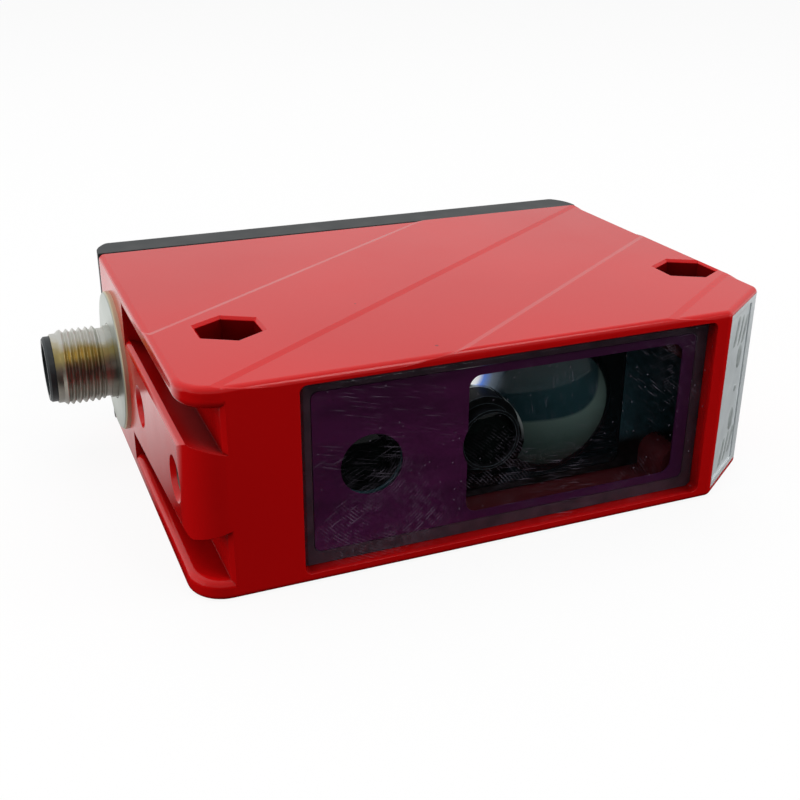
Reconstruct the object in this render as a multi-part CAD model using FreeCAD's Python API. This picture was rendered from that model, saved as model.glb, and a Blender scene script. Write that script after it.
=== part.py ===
import FreeCAD, Part
import math
import os

from FreeCAD import Vector

# Optical distance sensor lying on its side: +X along the case away from the plug, the window
# faces -Y, +Z up. The origin is the centre of the case's underside. Millimetres and degrees.

# Case
body_length = 90.0
body_height = 30.0
housing_depth = 61.6
cover_depth = 7.8
case_wall = 2.6
end_wall = 3.0
side_wall = 2.4
front_corner_radius = 5.0
cut_corner_radius = 1.5
rim_radius = 0.9
cavity_radius = 1.5
cut_corner_x = 11.0
cut_corner_y = 8.0

# Raised diagonal bands on the upper side
band_angle = 35.5
band_pitch = 18.87
band_start = 16.9
band_height = 0.2
band_slope_run = 1.0

# Through bolts with a nut pocket on the upper side
nut_flats = 8.4
nut_depth = 4.2
nut_rim_break = 0.4
bolt_hole = 5.5
bolt_setback = 19.6
bolt_inset_left = 11.0
nut_edge_wall = 0.8
pillar_wall = 1.9

# Clamp channels, dovetail rib and threaded holes on the plug end
channel_depth = 4.8
channel_end_gap = 10.6
channel_end_radius = 4.0
channel_plate = 3.0
channel_rim = 1.2
channel_mouth = 0.6
rib_rise = 7.3
rib_drop = 6.3
rib_wedge = 3.0
rib_undercut = 1.3
rib_edge_radius = 1.4
thread_core = 5.0
thread_mouth = 6.4
thread_depth = 9.0
thread_setback = 7.6
thread_pitch = 24.1

# Front window
window_inset = 14.7
window_post = 2.2
window_lip = 1.45
window_radius = 1.0
pane_thickness = 1.8
pane_recess = 0.15
pane_gap = 0.1
pane_bevel = 0.3
window_seal_width = 1.9
window_seal_thickness = 0.45
ledge_thickness = 1.2
mask_thickness = 0.2
mask_gap = 0.1
mask_clear_left = 3.8
mask_border_right = 2.1
mask_border = 1.2
mask_clear_radius = 1.8
mask_transmit_diameter = 8.8

# Optics carrier
carrier_setback = 9.0
carrier_plate = 4.0
carrier_gap = 0.3
tube_wall = 1.5
tube_setback = 3.0
sleeve_length = 4.0
sleeve_wall = 1.2
shaft_wall = 1.2
shaft_width = 15.6
shaft_height = 12.4
optics_depth = 19.5
slide_gap = 0.05

# Transmitter
transmit_x = 24.9
transmit_radius = 4.6
transmit_bore = 3.4
transmit_front = 3.4
transmit_lens_radius = 3.8
transmit_lens_edge = 1.4
transmit_lens_dome = 0.7
diode_flange_radius = 2.8
diode_flange = 1.2
diode_can_radius = 2.1
diode_can = 2.4
diode_pin_radius = 0.22
diode_pin_circle = 1.27
diode_pin = 1.4

# Near range tube
near_x = 42.6
near_radius = 5.6
near_nose_radius = 4.5
near_nose_front = 2.7
near_nose_rear = 5.0
near_bore = 3.6
near_lens_radius = 4.0
near_lens_edge = 1.0
near_lens_dome = 0.6
near_lens_seat = 1.8

# Receiver lens
lens_x = 55.7
lens_radius = 10.3
lens_dome = 2.9
lens_flange = 2.0
lens_flange_left = 17.9
lens_flange_right = 12.3
lens_flange_border = 1.2

# Boards, chips and flexible strips
thin_board = 1.2
thick_board = 1.6
detector_height = 1.2
receiver_chip = 7.0
near_chip = 4.0
receiver_board_margin = 1.8
receiver_board_border = 1.6
laser_board_size = 11.0
main_board_setback = 7.6
main_board_gap = 0.8
processor_size = 12.0
processor_height = 1.4
inductor_size = 10.0
inductor_height = 4.0
capacitor_radius = 3.2
capacitor_length = 6.0
flex_thickness = 0.25
flex_width = 8.0
flex_bend = 1.2

# Screws
screw_gap = 0.05
small_screw_radius = 1.2
small_head_radius = 2.25
small_head = 1.5
small_screw_length = 7.5
cover_screw_radius = 1.45
cover_head_radius = 2.75
cover_head = 2.0
cover_socket_flats = 2.0
cover_screw_length = 12.0
cover_screw_inset = 9.0
cover_screw_edge = 6.4
cover_head_recess = 2.6
cover_head_gap = 0.25
cover_boss_length = 9.0
board_boss_length = 10.0
board_screw_inset = 5.0
carrier_screw_offset = 9.7
carrier_screw_inset = 4.5
boss_wall = 1.4

# Rear cover
cover_wall = 2.0
cover_back_radius = 2.2
cover_corner_radius = 7.0
cover_seal_thickness = 0.6
cover_seal_inset = 0.5

# Indicator strip on the cut corner
strip_thickness = 2.2
strip_start = 0.5
strip_lip = 1.0
strip_gap = 0.1
strip_end_gap = 0.25
strip_rim = 0.9
strip_panel = 0.2
strip_wall = 1.6
light_slot_start = 3.5
light_slot_length = 6.5
light_slot_height = 18.0
indicator_board_thickness = 1.0
indicator_board_border = 1.4
led_width = 2.0
led_height = 3.2
led_depth = 1.2
led_spacing = 11.0

# M12 connector, along -X
plug_inset = 10.0
disc_diameter = 22.4
disc_proud = 0.9
disc_bevel = 0.3
plug_radius = 6.0
plug_gap = 0.1
collar_radius = 5.8
collar_length = 0.9
undercut_radius = 5.5
undercut_length = 0.8
thread_length = 6.0
lead_in = 1.4
lead_in_radius = 5.5
plug_tail = 6.6
insert_radius = 5.2
insert_tail_radius = 5.6
insert_shoulder = 2.0
insert_nose = 1.2
insert_gap = 0.05
cup_radius = 4.15
cup_depth = 8.0
key_width = 1.3
key_height = 0.85
pin_radius = 0.5
pin_circle = 2.55
pin_recess = 1.2
pin_tail = 1.0
pin_gap = 0.02
port_gap = 0.5
gasket_radius = 8.9
gasket_depth = 0.8
nut_ring_flats = 14.0
nut_ring_thickness = 2.5
connector_board_width = 12.0
connector_board_gap = 0.75

# Room that cutting tools reach past a face
over = 1.0

# Planes of the case
body_depth = housing_depth + cover_seal_thickness + cover_depth
x_left = -body_length / 2
x_right = body_length / 2
y_front = -body_depth / 2
y_back = body_depth / 2
y_seam = y_front + housing_depth
y_cover = y_seam + cover_seal_thickness
z_top = body_height
z_mid = body_height / 2
z_floor = case_wall
z_ceiling = body_height - case_wall
x_cut = x_right - cut_corner_x
y_cut = y_front + cut_corner_y

# Bolts, window and optics in the case frame
x_bolts = (x_left + bolt_inset_left, x_right - nut_edge_wall - nut_flats / 2)
y_bolts = y_front + bolt_setback
nut_corner = nut_flats / math.sqrt(3)
window = (x_left + window_inset, x_cut - window_post, window_lip, body_height - window_lip)
y_pane = y_front + pane_recess
y_pane_back = y_pane + pane_thickness
y_ledge = y_pane_back + window_seal_thickness
y_core = y_ledge + ledge_thickness
x_core = x_bolts[0] + nut_flats / 2 + 2 * pillar_wall / math.sqrt(3)
x_pillar = x_bolts[1] - nut_flats / 2 - pillar_wall
x_transmit = x_left + transmit_x
x_near = x_left + near_x
x_lens = x_left + lens_x
x_shaft = x_near + near_radius + slide_gap + sleeve_wall + shaft_width / 2
y_carrier = y_front + carrier_setback
y_carrier_back = y_carrier + carrier_plate
y_optics = y_front + optics_depth
y_board = y_seam - main_board_setback
x_cover_screws = (x_left + cover_screw_inset, x_right - cover_screw_inset)
z_cover_screws = (cover_screw_edge, body_height - cover_screw_edge)
small_boss = small_screw_radius + boss_wall
cover_boss = cover_screw_radius + boss_wall
x_board = (x_cover_screws[0] + cover_boss + main_board_gap, x_cover_screws[1] - cover_boss - main_board_gap)
x_board_screws = (x_board[0] + board_screw_inset, x_board[1] - board_screw_inset)
x_inductor = x_board_screws[0] + inductor_size
z_small_screws = (z_floor + small_boss, z_ceiling - small_boss)
x_carrier_screws = (x_transmit + carrier_screw_offset, x_pillar - carrier_screw_inset)
y_plug = y_seam - plug_inset
y_channel_end = y_plug - channel_end_gap
lens_half_height = z_ceiling - carrier_gap - lens_flange_border - z_mid


def plan(z):
    return lambda u, v: Vector(u, v, z)


def facing(y):
    return lambda u, v: Vector(u, y, v)


# One rounded corner: its two tangent points and the middle of its arc.
def round_corner(before, corner, after):
    point = Vector(corner[0], corner[1], 0)
    to_before = (Vector(before[0], before[1], 0) - point).normalize()
    to_after = (Vector(after[0], after[1], 0) - point).normalize()
    half_angle = to_before.getAngle(to_after) / 2
    reach = corner[2] / math.tan(half_angle)
    rise = corner[2] / math.sin(half_angle) - corner[2]
    middle = point + (to_before + to_after).normalize() * rise
    return point + to_before * reach, middle, point + to_after * reach


# Closed wire through corners given as (u, v, radius), put in space by the plane's function.
def outline(corners, plane):
    stops = []
    for index, corner in enumerate(corners):
        following = corners[(index + 1) % len(corners)]
        stops.append(round_corner(corners[index - 1], corner, following))
    edges = []
    for index, (start, middle, end) in enumerate(stops):
        if corners[index][2] > 0:
            arc = Part.Arc(plane(start.x, start.y), plane(middle.x, middle.y), plane(end.x, end.y))
            edges.append(arc.toShape())
        next_start = stops[(index + 1) % len(stops)][0]
        edges.append(Part.makeLine(plane(end.x, end.y), plane(next_start.x, next_start.y)))
    return Part.Wire(edges)


def rectangle(u_low, u_high, v_low, v_high, radius=0.0):
    corners = [(u_low, v_low), (u_high, v_low), (u_high, v_high), (u_low, v_high)]
    return [(u, v, radius) for u, v in corners]


def upright(corners, z_low, z_high):
    return Part.Face(outline(corners, plan(z_low))).extrude(Vector(0, 0, z_high - z_low))


def inward(corners, y_low, y_high):
    return Part.Face(outline(corners, facing(y_low))).extrude(Vector(0, y_high - y_low, 0))


def block(x_low, x_high, y_low, y_high, z_low, z_high):
    return Part.makeBox(x_high - x_low, y_high - y_low, z_high - z_low, Vector(x_low, y_low, z_low))


def rod_x(radius, x_low, x_high, y, z):
    return Part.makeCylinder(radius, x_high - x_low, Vector(x_low, y, z), Vector(1, 0, 0))


def rod_y(radius, y_low, y_high, x, z):
    return Part.makeCylinder(radius, y_high - y_low, Vector(x, y_low, z), Vector(0, 1, 0))


def rod_z(radius, z_low, z_high, x, y):
    return Part.makeCylinder(radius, z_high - z_low, Vector(x, y, z_low), Vector(0, 0, 1))


# Body of revolution about the plug's axis, from corners given as (x, radius).
def turned(corners):
    points = [Vector(x, y_plug, z_mid + radius) for x, radius in corners]
    face = Part.Face(Part.makePolygon(points + points[:1]))
    return face.revolve(Vector(0, y_plug, z_mid), Vector(1, 0, 0), 360)


def hexagon(flats, x, y, first_angle):
    radius = flats / math.sqrt(3)
    angles = [math.radians(first_angle + 60 * step) for step in range(6)]
    return [(x + radius * math.cos(angle), y + radius * math.sin(angle), 0) for angle in angles]


def joined(shapes):
    return shapes[0].fuse(shapes[1:]).removeSplitter()


# Lens with a flat back: a spherical dome on an edge cylinder, pointing to -Y.
def domed_lens(radius, edge, dome, y_rear, x):
    sphere_radius = (radius * radius + dome * dome) / (2 * dome)
    centre = Vector(x, y_rear - edge - dome + sphere_radius, z_mid)
    stock = rod_y(radius, y_rear - edge - dome, y_rear, x, z_mid)
    return stock.common(Part.makeSphere(sphere_radius, centre))


# Ribbon of constant thickness along a path in plan, with every bend on one radius.
def ribbon(points, z_low, z_high):
    sides = ([], [])
    for index, point in enumerate(points):
        here = Vector(point[0], point[1], 0)
        normals = []
        for first, second in ((index - 1, index), (index, index + 1)):
            if first >= 0 and second < len(points):
                run = Vector(points[second][0] - points[first][0], points[second][1] - points[first][1], 0)
                run.normalize()
                normals.append(Vector(-run.y, run.x, 0))
        lean = normals[0] + normals[-1]
        shift = lean * (flex_thickness / (lean.dot(normals[0])))
        turn = normals[0].cross(normals[-1]).z
        for side, sign in enumerate((0.5, -0.5)):
            spot = here + shift * sign
            radius = 0.0
            if abs(turn) > 0.001:
                radius = flex_bend - math.copysign(flex_thickness, turn) * sign
            sides[side].append((spot.x, spot.y, radius))
    return upright(sides[0] + sides[1][::-1], z_low, z_high)


# Cut corner frame: a point s along the face from the front and d into the case.
def corner_point(s, d, radius=0.0):
    length = math.hypot(cut_corner_x, cut_corner_y)
    along = Vector(cut_corner_x / length, cut_corner_y / length, 0)
    spot = Vector(x_cut, y_front, 0) + along * s + Vector(-along.y, along.x, 0) * d
    return (spot.x, spot.y, radius)


# Where the line at depth d behind the cut corner crosses a plane of constant x or y.
def corner_at_x(x, d, radius=0.0):
    origin = corner_point(0, d)
    y = origin[1] + (x - origin[0]) * cut_corner_y / cut_corner_x
    return (x, y, radius)


def corner_at_y(y, d, radius=0.0):
    origin = corner_point(0, d)
    x = origin[0] + (y - origin[1]) * cut_corner_x / cut_corner_y
    return (x, y, radius)


# Housing blank between two levels, its long edges rounded everywhere but at the seam.
def case_blank(z_low, z_high, radius=rim_radius):
    corners = [
        (x_left, y_front, front_corner_radius),
        (x_cut, y_front, cut_corner_radius),
        (x_right, y_cut, cut_corner_radius),
        (x_right, y_seam, 0),
        (x_left, y_seam, 0),
    ]
    blank = upright(corners, z_low, z_high)
    rim = []
    for edge in blank.Edges:
        box = edge.BoundBox
        if box.ZLength < 0.01 and box.YMin < y_seam - 0.01:
            rim.append(edge)
    return blank.makeFillet(radius, rim)


# Wedge-sided bar along a diagonal, whose top between two edges is a raised band.
def band_bar(first_edge):
    angle = math.radians(band_angle)
    along = Vector(math.cos(angle), math.sin(angle), 0)
    across = Vector(-math.sin(angle), math.cos(angle), 0)
    reach = body_length + housing_depth
    start = Vector(x_left, y_front, 0) - along * reach
    z_edge = z_top - band_height / 2
    points = []
    for edge, sign in ((first_edge, 1), (first_edge - band_pitch, -1)):
        for z in (z_top + over, z_top - band_height - rim_radius)[::sign]:
            spread = sign * (z_edge - z) * band_slope_run / band_height
            points.append(start + across * (edge + spread) + Vector(0, 0, z))
    return Part.Face(Part.makePolygon(points + points[:1])).extrude(along * (2 * reach))


def flipped(shape):
    return shape.mirror(Vector(0, 0, z_mid), Vector(0, 0, 1))


# Clamp channel above the rib: a dovetail flank below that climbs towards the plug, a plate with a
# rounded rim above, and a rounded end.
def clamp_channel(rise, wedge):
    flank = rib_undercut / channel_depth
    climb = wedge / (y_channel_end - y_front)
    z_plate = z_top - channel_plate
    x_deep = x_left + channel_depth + channel_mouth
    sections = []
    for y in (y_front - over, y_channel_end + over):
        z_face = z_mid + rise + climb * (y - y_front)
        corners = [
            (x_left - over, z_face + flank * over, 0),
            (x_deep, z_face - flank * (channel_depth + channel_mouth), 0),
            (x_deep, z_plate + channel_rim, 0),
            (x_left - over, z_plate + channel_rim, 0),
        ]
        sections.append(outline(corners, facing(y)))
    footprint = [
        (x_left - over, y_front - over, 0),
        (x_deep, y_front - over, 0),
        (x_deep, y_front, 0),
        (x_left + channel_depth, y_front + channel_mouth, 0),
        (x_left + channel_depth, y_channel_end, channel_end_radius),
        (x_left - over, y_channel_end, 0),
    ]
    bar = Part.makeLoft(sections, True, True)
    plate = case_blank(z_plate, z_top + 2 * over, channel_rim)
    return bar.common(upright(footprint, z_mid, z_top)).cut(plate)


# Round-nosed cutter that takes the sharp edge off the rib along such a channel.
def rib_edge_cutter(rise, wedge):
    z_face = z_mid + rise
    x_round = x_left + rib_edge_radius
    y_low = y_front - 2 * over
    y_high = y_channel_end + 2 * over
    corner = block(x_left - over, x_round, y_low, y_high, z_face - rib_edge_radius, z_face)
    nose = rod_y(rib_edge_radius, y_low - over, y_high + over, x_round, z_face - rib_edge_radius)
    cutter = corner.cut(nose)
    climb = math.degrees(math.atan2(wedge, y_channel_end - y_front))
    cutter.rotate(Vector(x_left, y_front, z_face), Vector(1, 0, 0), climb)
    return cutter.common(block(x_left - over, x_round, y_front - over, y_channel_end, z_mid, z_top))


# Space inside the housing: optics and boards, indicator bay and connector bay.
def case_cavity():
    corner_depth = strip_thickness + strip_wall
    x_inner_right = x_right - side_wall
    y_pillar_front = y_bolts - nut_corner - pillar_wall
    y_pillar_back = y_bolts + nut_corner + pillar_wall
    y_bay = y_plug - disc_diameter / 2 + pillar_wall
    corners = [
        (x_core, y_core, cavity_radius),
        corner_at_y(y_core, corner_depth, cavity_radius),
        corner_at_x(x_inner_right, corner_depth, cavity_radius / 3),
        (x_inner_right, y_pillar_front, cavity_radius / 3),
        (x_pillar, y_pillar_front, cavity_radius),
        (x_pillar, y_pillar_back, cavity_radius),
        (x_inner_right, y_pillar_back, cavity_radius),
        (x_inner_right, y_seam + over, 0),
        (x_left + end_wall, y_seam + over, 0),
        (x_left + end_wall, y_bay, cavity_radius),
        (x_core, y_bay, cavity_radius),
    ]
    return upright(corners, z_floor, z_ceiling)


# Screw boss along Y, cast against the nearest large wall.
def cast_boss(radius, y_low, y_high, x, z):
    foot_low = min(z, z_floor - case_wall / 2)
    foot_high = max(z, z_ceiling + case_wall / 2)
    foot = block(x - radius, x + radius, y_low, y_high, foot_low, z)
    if z > z_mid:
        foot = block(x - radius, x + radius, y_low, y_high, z, foot_high)
    return rod_y(radius, y_low, y_high, x, z).fuse(foot)


# Flared hexagon that breaks the sharp rim of a nut pocket.
def broken_rim(x):
    rise = nut_rim_break + over
    sections = [
        outline(hexagon(nut_flats, x, y_bolts, 30), plan(z_top - nut_rim_break)),
        outline(hexagon(nut_flats + 2 * rise, x, y_bolts, 30), plan(z_top + over)),
    ]
    return Part.makeLoft(sections, True, True)


def spots(x_pair, z_pair):
    return [(x, z) for x in x_pair for z in z_pair]


def housing():
    tall = case_blank(0, z_top)
    body = [case_blank(0, z_top - band_height)]
    for edge in (band_start, band_start - 2 * band_pitch):
        body.append(tall.common(band_bar(edge)))
    body = joined(body)

    hollow = [case_cavity()]
    x_low, x_high, z_low, z_high = window
    hollow.append(inward(rectangle(*window, window_radius), y_front - over, y_ledge))
    rim = window_seal_width
    sight = rectangle(x_low + rim, x_high - rim, z_low + rim, z_high - rim, window_radius)
    hollow.append(inward(sight, y_front, y_core + over))
    body = body.cut(hollow)

    bosses = [cast_boss(cover_boss, y_seam - cover_boss_length, y_seam, x, z)
              for x, z in spots(x_cover_screws, z_cover_screws)]
    bosses += [cast_boss(small_boss, y_board - board_boss_length, y_board, x, z)
               for x, z in spots(x_board_screws, z_small_screws)]
    bosses += [cast_boss(small_boss, y_core - ledge_thickness / 2, y_carrier, x, z)
               for x, z in spots(x_carrier_screws, z_small_screws)]
    body = joined([body] + bosses)

    cuts = []
    for cutter in (clamp_channel, rib_edge_cutter):
        cuts += [cutter(rib_rise, 0.0), flipped(cutter(rib_drop, rib_wedge))]
    for x in x_bolts:
        pocket = upright(hexagon(nut_flats, x, y_bolts, 30), z_top - nut_depth, z_top + over)
        cuts += [pocket, broken_rim(x), rod_z(bolt_hole / 2, -over, z_top, x, y_bolts)]
    for y in (y_front + thread_setback, y_front + thread_setback + thread_pitch):
        mouth = (thread_mouth - thread_core) / 2
        cuts.append(rod_x(thread_core / 2, x_left - over, x_left + thread_depth, y, z_mid))
        cuts.append(Part.makeCone(thread_mouth / 2 + over, thread_core / 2, mouth + over,
                                  Vector(x_left - over, y, z_mid), Vector(1, 0, 0)))
    for x, z in spots(x_cover_screws, z_cover_screws):
        hole = cover_screw_radius + screw_gap
        cuts.append(rod_y(hole, y_seam - cover_boss_length, y_seam + over, x, z))
    hole = small_screw_radius + screw_gap
    for x, z in spots(x_board_screws, z_small_screws):
        cuts.append(rod_y(hole, y_board - board_boss_length, y_board + over, x, z))
    for x, z in spots(x_carrier_screws, z_small_screws):
        cuts.append(rod_y(hole, y_core, y_carrier + over, x, z))

    cuts.append(rod_x(plug_radius + port_gap, x_left - over, x_left + end_wall + over, y_plug, z_mid))
    cuts.append(rod_x(gasket_radius + plug_gap, x_left - over, x_left + gasket_depth, y_plug, z_mid))

    strip_end = math.hypot(cut_corner_x, cut_corner_y) + strip_thickness + 2 * over
    recess = [
        corner_point(strip_start, -over),
        corner_point(strip_end, -over),
        corner_point(strip_end, strip_thickness),
        corner_point(strip_start, strip_thickness),
    ]
    cuts.append(upright(recess, strip_lip, z_top - strip_lip))
    slot_end = light_slot_start + light_slot_length
    slot = [
        corner_point(light_slot_start, 0),
        corner_point(slot_end, 0),
        corner_point(slot_end, strip_thickness + strip_wall + over),
        corner_point(light_slot_start, strip_thickness + strip_wall + over),
    ]
    cuts.append(upright(slot, z_mid - light_slot_height / 2, z_mid + light_slot_height / 2))
    return body.cut(cuts).removeSplitter()


def rear_cover():
    low = band_height
    high = body_height - band_height
    footprint = [
        (x_left, y_cover, 0),
        (x_right, y_cover, 0),
        (x_right, y_back, cover_corner_radius),
        (x_left, y_back, cover_corner_radius),
    ]
    side = [
        (y_cover, low, 0),
        (y_back, low, cover_back_radius),
        (y_back, high, cover_back_radius),
        (y_cover, high, 0),
    ]
    profile = Part.Face(outline(side, lambda u, v: Vector(x_left - over, u, v)))
    shell = upright(footprint, low, high).common(profile.extrude(Vector(body_length + 2 * over, 0, 0)))
    inner = inward(
        rectangle(x_left + end_wall, x_right - side_wall, z_floor, z_ceiling, cavity_radius),
        y_cover - over,
        y_back - cover_wall,
    )
    head_room = cover_head_radius + cover_head_gap
    posts = []
    for x, z in spots(x_cover_screws, z_cover_screws):
        posts.append(rod_y(cover_boss, y_seam, y_back - cover_wall / 2, x, z))
        posts.append(rod_y(head_room + boss_wall, y_cover, y_back - cover_wall / 2, x, z))
    shell = joined([shell.cut(inner)] + posts)
    cuts = []
    for x, z in spots(x_cover_screws, z_cover_screws):
        cuts.append(rod_y(cover_screw_radius + cover_head_gap, y_seam - over, y_back, x, z))
        cuts.append(rod_y(head_room, y_back - cover_head_recess, y_back + over, x, z))
    return shell.cut(cuts).removeSplitter()


def rear_cover_seal():
    inset = cover_seal_inset
    z_low = band_height + inset
    rim = rectangle(x_left + inset, x_right - inset, z_low, body_height - z_low, rim_radius)
    ring = inward(rim, y_seam, y_cover)
    opening = rectangle(x_left + end_wall, x_right - side_wall, z_floor, z_ceiling)
    return ring.cut(inward(opening, y_seam - over, y_cover + over))


def rear_cover_screws():
    y_seat = y_back - cover_head_recess
    screws = []
    for x, z in spots(x_cover_screws, z_cover_screws):
        head = rod_y(cover_head_radius, y_seat, y_seat + cover_head, x, z)
        socket = hexagon(cover_socket_flats, x, z, 0)
        key = inward(socket, y_seat + cover_head / 2, y_seat + cover_head + over)
        shank = rod_y(cover_screw_radius, y_seat - cover_screw_length, y_seat, x, z)
        screws.append(head.fuse(shank).cut(key).removeSplitter())
    return Part.makeCompound(screws)


def front_window():
    x_low, x_high, z_low, z_high = window
    gap = pane_gap
    corners = rectangle(x_low + gap, x_high - gap, z_low + gap, z_high - gap, window_radius - gap)
    pane = inward(corners, y_pane, y_pane_back)
    edges = []
    for edge in pane.Edges:
        if edge.BoundBox.YMax < y_pane + 0.01:
            edges.append(edge)
    return pane.makeChamfer(pane_bevel, edges)


def window_seal():
    x_low, x_high, z_low, z_high = window
    gap = pane_gap
    rim = window_seal_width
    corners = rectangle(x_low + gap, x_high - gap, z_low + gap, z_high - gap, window_radius - gap)
    ring = inward(corners, y_pane_back, y_ledge)
    opening = rectangle(x_low + rim, x_high - rim, z_low + rim, z_high - rim, window_radius)
    return ring.cut(inward(opening, y_pane_back - over, y_ledge + over))


# Print film behind the pane: a round opening for the beam, a wide one for the receiver that
# bulges round the near range tube.
def aperture_mask():
    x_low, x_high, z_low, z_high = window
    rim = window_seal_width + mask_gap
    y_rear = y_pane_back + mask_thickness
    corners = rectangle(x_low + rim, x_high - rim, z_low + rim, z_high - rim, window_radius)
    film = inward(corners, y_pane_back, y_rear)
    border = rim + mask_border
    clear = rectangle(
        x_near - mask_clear_left,
        x_high - rim - mask_border_right,
        z_low + border,
        z_high - border,
        mask_clear_radius,
    )
    openings = [
        rod_y(mask_transmit_diameter / 2, y_pane, y_rear + over, x_transmit, z_mid),
        inward(clear, y_pane, y_rear + over),
        rod_y(near_nose_radius, y_pane, y_rear + over, x_near, z_mid),
    ]
    return film.cut(openings).removeSplitter()


# Outline of the lens flange or its pocket, kept clear of the carrier's screw bosses.
def lens_flange_plate(gap, y_low, y_high):
    half = lens_half_height + gap
    x_low = x_lens - lens_flange_left - gap
    x_high = x_lens + lens_flange_right + gap
    plate = inward(rectangle(x_low, x_high, z_mid - half, z_mid + half, cavity_radius), y_low, y_high)
    reliefs = [rod_y(small_boss + carrier_gap - gap, y_low - over, y_high + over, x, z)
               for x, z in spots(x_carrier_screws, z_small_screws)]
    return plate.cut(reliefs)


def receiver_lens():
    flange = lens_flange_plate(0.0, y_carrier, y_carrier + lens_flange)
    dome = domed_lens(lens_radius, lens_flange, lens_dome, y_carrier + lens_flange, x_lens)
    notch = rod_y(near_radius + carrier_gap / 2, y_front, y_optics, x_near, z_mid)
    return joined([flange, dome]).cut(notch)


# Rectangular light shaft from the lens back to the receiver board, or its bore with no wall.
def light_shaft(wall, y_low, y_high):
    half_width = shaft_width / 2 + wall
    half_height = shaft_height / 2 + wall
    corners = rectangle(x_shaft - half_width, x_shaft + half_width, z_mid - half_height, z_mid + half_height)
    return inward(corners, y_low, y_high)


def optics_carrier():
    gap = carrier_gap
    plate = inward(
        rectangle(x_core + gap, x_pillar - gap, z_floor + gap, z_ceiling - gap, cavity_radius),
        y_carrier,
        y_carrier_back,
    )
    transmit_bore_radius = transmit_radius + slide_gap
    near_bore_radius = near_radius + slide_gap
    solids = [
        plate,
        rod_y(transmit_bore_radius + tube_wall, y_front + tube_setback, y_carrier, x_transmit, z_mid),
        rod_y(near_bore_radius + sleeve_wall, y_carrier_back, y_carrier_back + sleeve_length, x_near, z_mid),
        light_shaft(shaft_wall, y_carrier_back, y_optics),
    ]
    cuts = [
        rod_y(transmit_bore_radius, y_front, y_carrier_back + over, x_transmit, z_mid),
        rod_y(near_bore_radius, y_front, y_carrier_back + sleeve_length + over, x_near, z_mid),
        lens_flange_plate(carrier_gap / 2, y_carrier - over, y_carrier + lens_flange),
        rod_y(lens_radius + carrier_gap / 2, y_carrier - over, y_carrier + lens_flange, x_lens, z_mid),
        light_shaft(0.0, y_carrier, y_optics + over),
    ]
    for x, z in spots(x_carrier_screws, z_small_screws):
        cuts.append(rod_y(small_screw_radius + screw_gap, y_carrier - over, y_carrier_back + over, x, z))
    return joined(solids).cut(cuts).removeSplitter()


def small_screws(y_seat, x_pair):
    screws = []
    for x, z in spots(x_pair, z_small_screws):
        head = rod_y(small_head_radius, y_seat, y_seat + small_head, x, z)
        shank = rod_y(small_screw_radius, y_seat - small_screw_length, y_seat, x, z)
        screws.append(head.fuse(shank).removeSplitter())
    return Part.makeCompound(screws)


def carrier_screws():
    return small_screws(y_carrier_back, x_carrier_screws)


def near_range_barrel():
    y_nose = y_front + near_nose_front
    y_step = y_front + near_nose_rear
    body = rod_y(near_nose_radius, y_nose, y_step, x_near, z_mid)
    body = body.fuse(rod_y(near_radius, y_step, y_optics, x_near, z_mid))
    seat = rod_y(near_lens_radius + slide_gap, y_nose - over, y_nose + near_lens_seat, x_near, z_mid)
    bore = rod_y(near_bore, y_nose, y_optics + over, x_near, z_mid)
    return body.cut([seat, bore]).removeSplitter()


def near_range_lens():
    y_seat = y_front + near_nose_front + near_lens_seat
    return domed_lens(near_lens_radius, near_lens_edge, near_lens_dome, y_seat, x_near)


def transmitter_barrel():
    y_low = y_front + transmit_front
    seat_depth = transmit_lens_edge + transmit_lens_dome
    body = rod_y(transmit_radius, y_low, y_optics, x_transmit, z_mid)
    cuts = [
        rod_y(transmit_bore, y_low - over, y_optics - diode_flange - over, x_transmit, z_mid),
        rod_y(transmit_lens_radius + slide_gap, y_low - over, y_low + seat_depth, x_transmit, z_mid),
        rod_y(diode_can_radius + slide_gap, y_low, y_optics + over, x_transmit, z_mid),
        rod_y(diode_flange_radius + slide_gap, y_optics - diode_flange, y_optics + over, x_transmit, z_mid),
    ]
    return body.cut(cuts).removeSplitter()


def transmitter_lens():
    seat_depth = transmit_lens_edge + transmit_lens_dome
    y_seat = y_front + transmit_front + seat_depth
    return domed_lens(transmit_lens_radius, transmit_lens_edge, transmit_lens_dome, y_seat, x_transmit)


def diode_pins(radius, y_low, y_high):
    pins = []
    for angle in (0, 90, 180):
        x = x_transmit + diode_pin_circle * math.cos(math.radians(angle))
        z = z_mid + diode_pin_circle * math.sin(math.radians(angle))
        pins.append(rod_y(radius, y_low, y_high, x, z))
    return pins


def laser_diode():
    y_flange = y_optics - diode_flange
    flange = rod_y(diode_flange_radius, y_flange, y_optics, x_transmit, z_mid)
    can = rod_y(diode_can_radius, y_flange - diode_can, y_flange, x_transmit, z_mid)
    pins = diode_pins(diode_pin_radius, y_optics - diode_flange / 2, y_optics + diode_pin)
    return joined([flange, can] + pins)


def laser_board():
    half = laser_board_size / 2
    board = inward(
        rectangle(x_transmit - half, x_transmit + half, z_mid - half, z_mid + half, rim_radius),
        y_optics,
        y_optics + thin_board,
    )
    holes = diode_pins(diode_pin_radius + screw_gap, y_optics - over, y_optics + thin_board + over)
    return board.cut(holes)


def receiver_board():
    half = lens_half_height - receiver_board_border
    x_low = x_near - near_radius - receiver_board_margin
    x_high = x_shaft + shaft_width / 2 + shaft_wall + receiver_board_margin
    corners = rectangle(x_low, x_high, z_mid - half, z_mid + half, rim_radius)
    return inward(corners, y_optics, y_optics + thin_board)


def chip(size, height, x, y_low):
    half = size / 2
    return block(x - half, x + half, y_low, y_low + height, z_mid - half, z_mid + half)


def receiver_detector():
    return chip(receiver_chip, detector_height, x_shaft, y_optics - detector_height)


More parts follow.
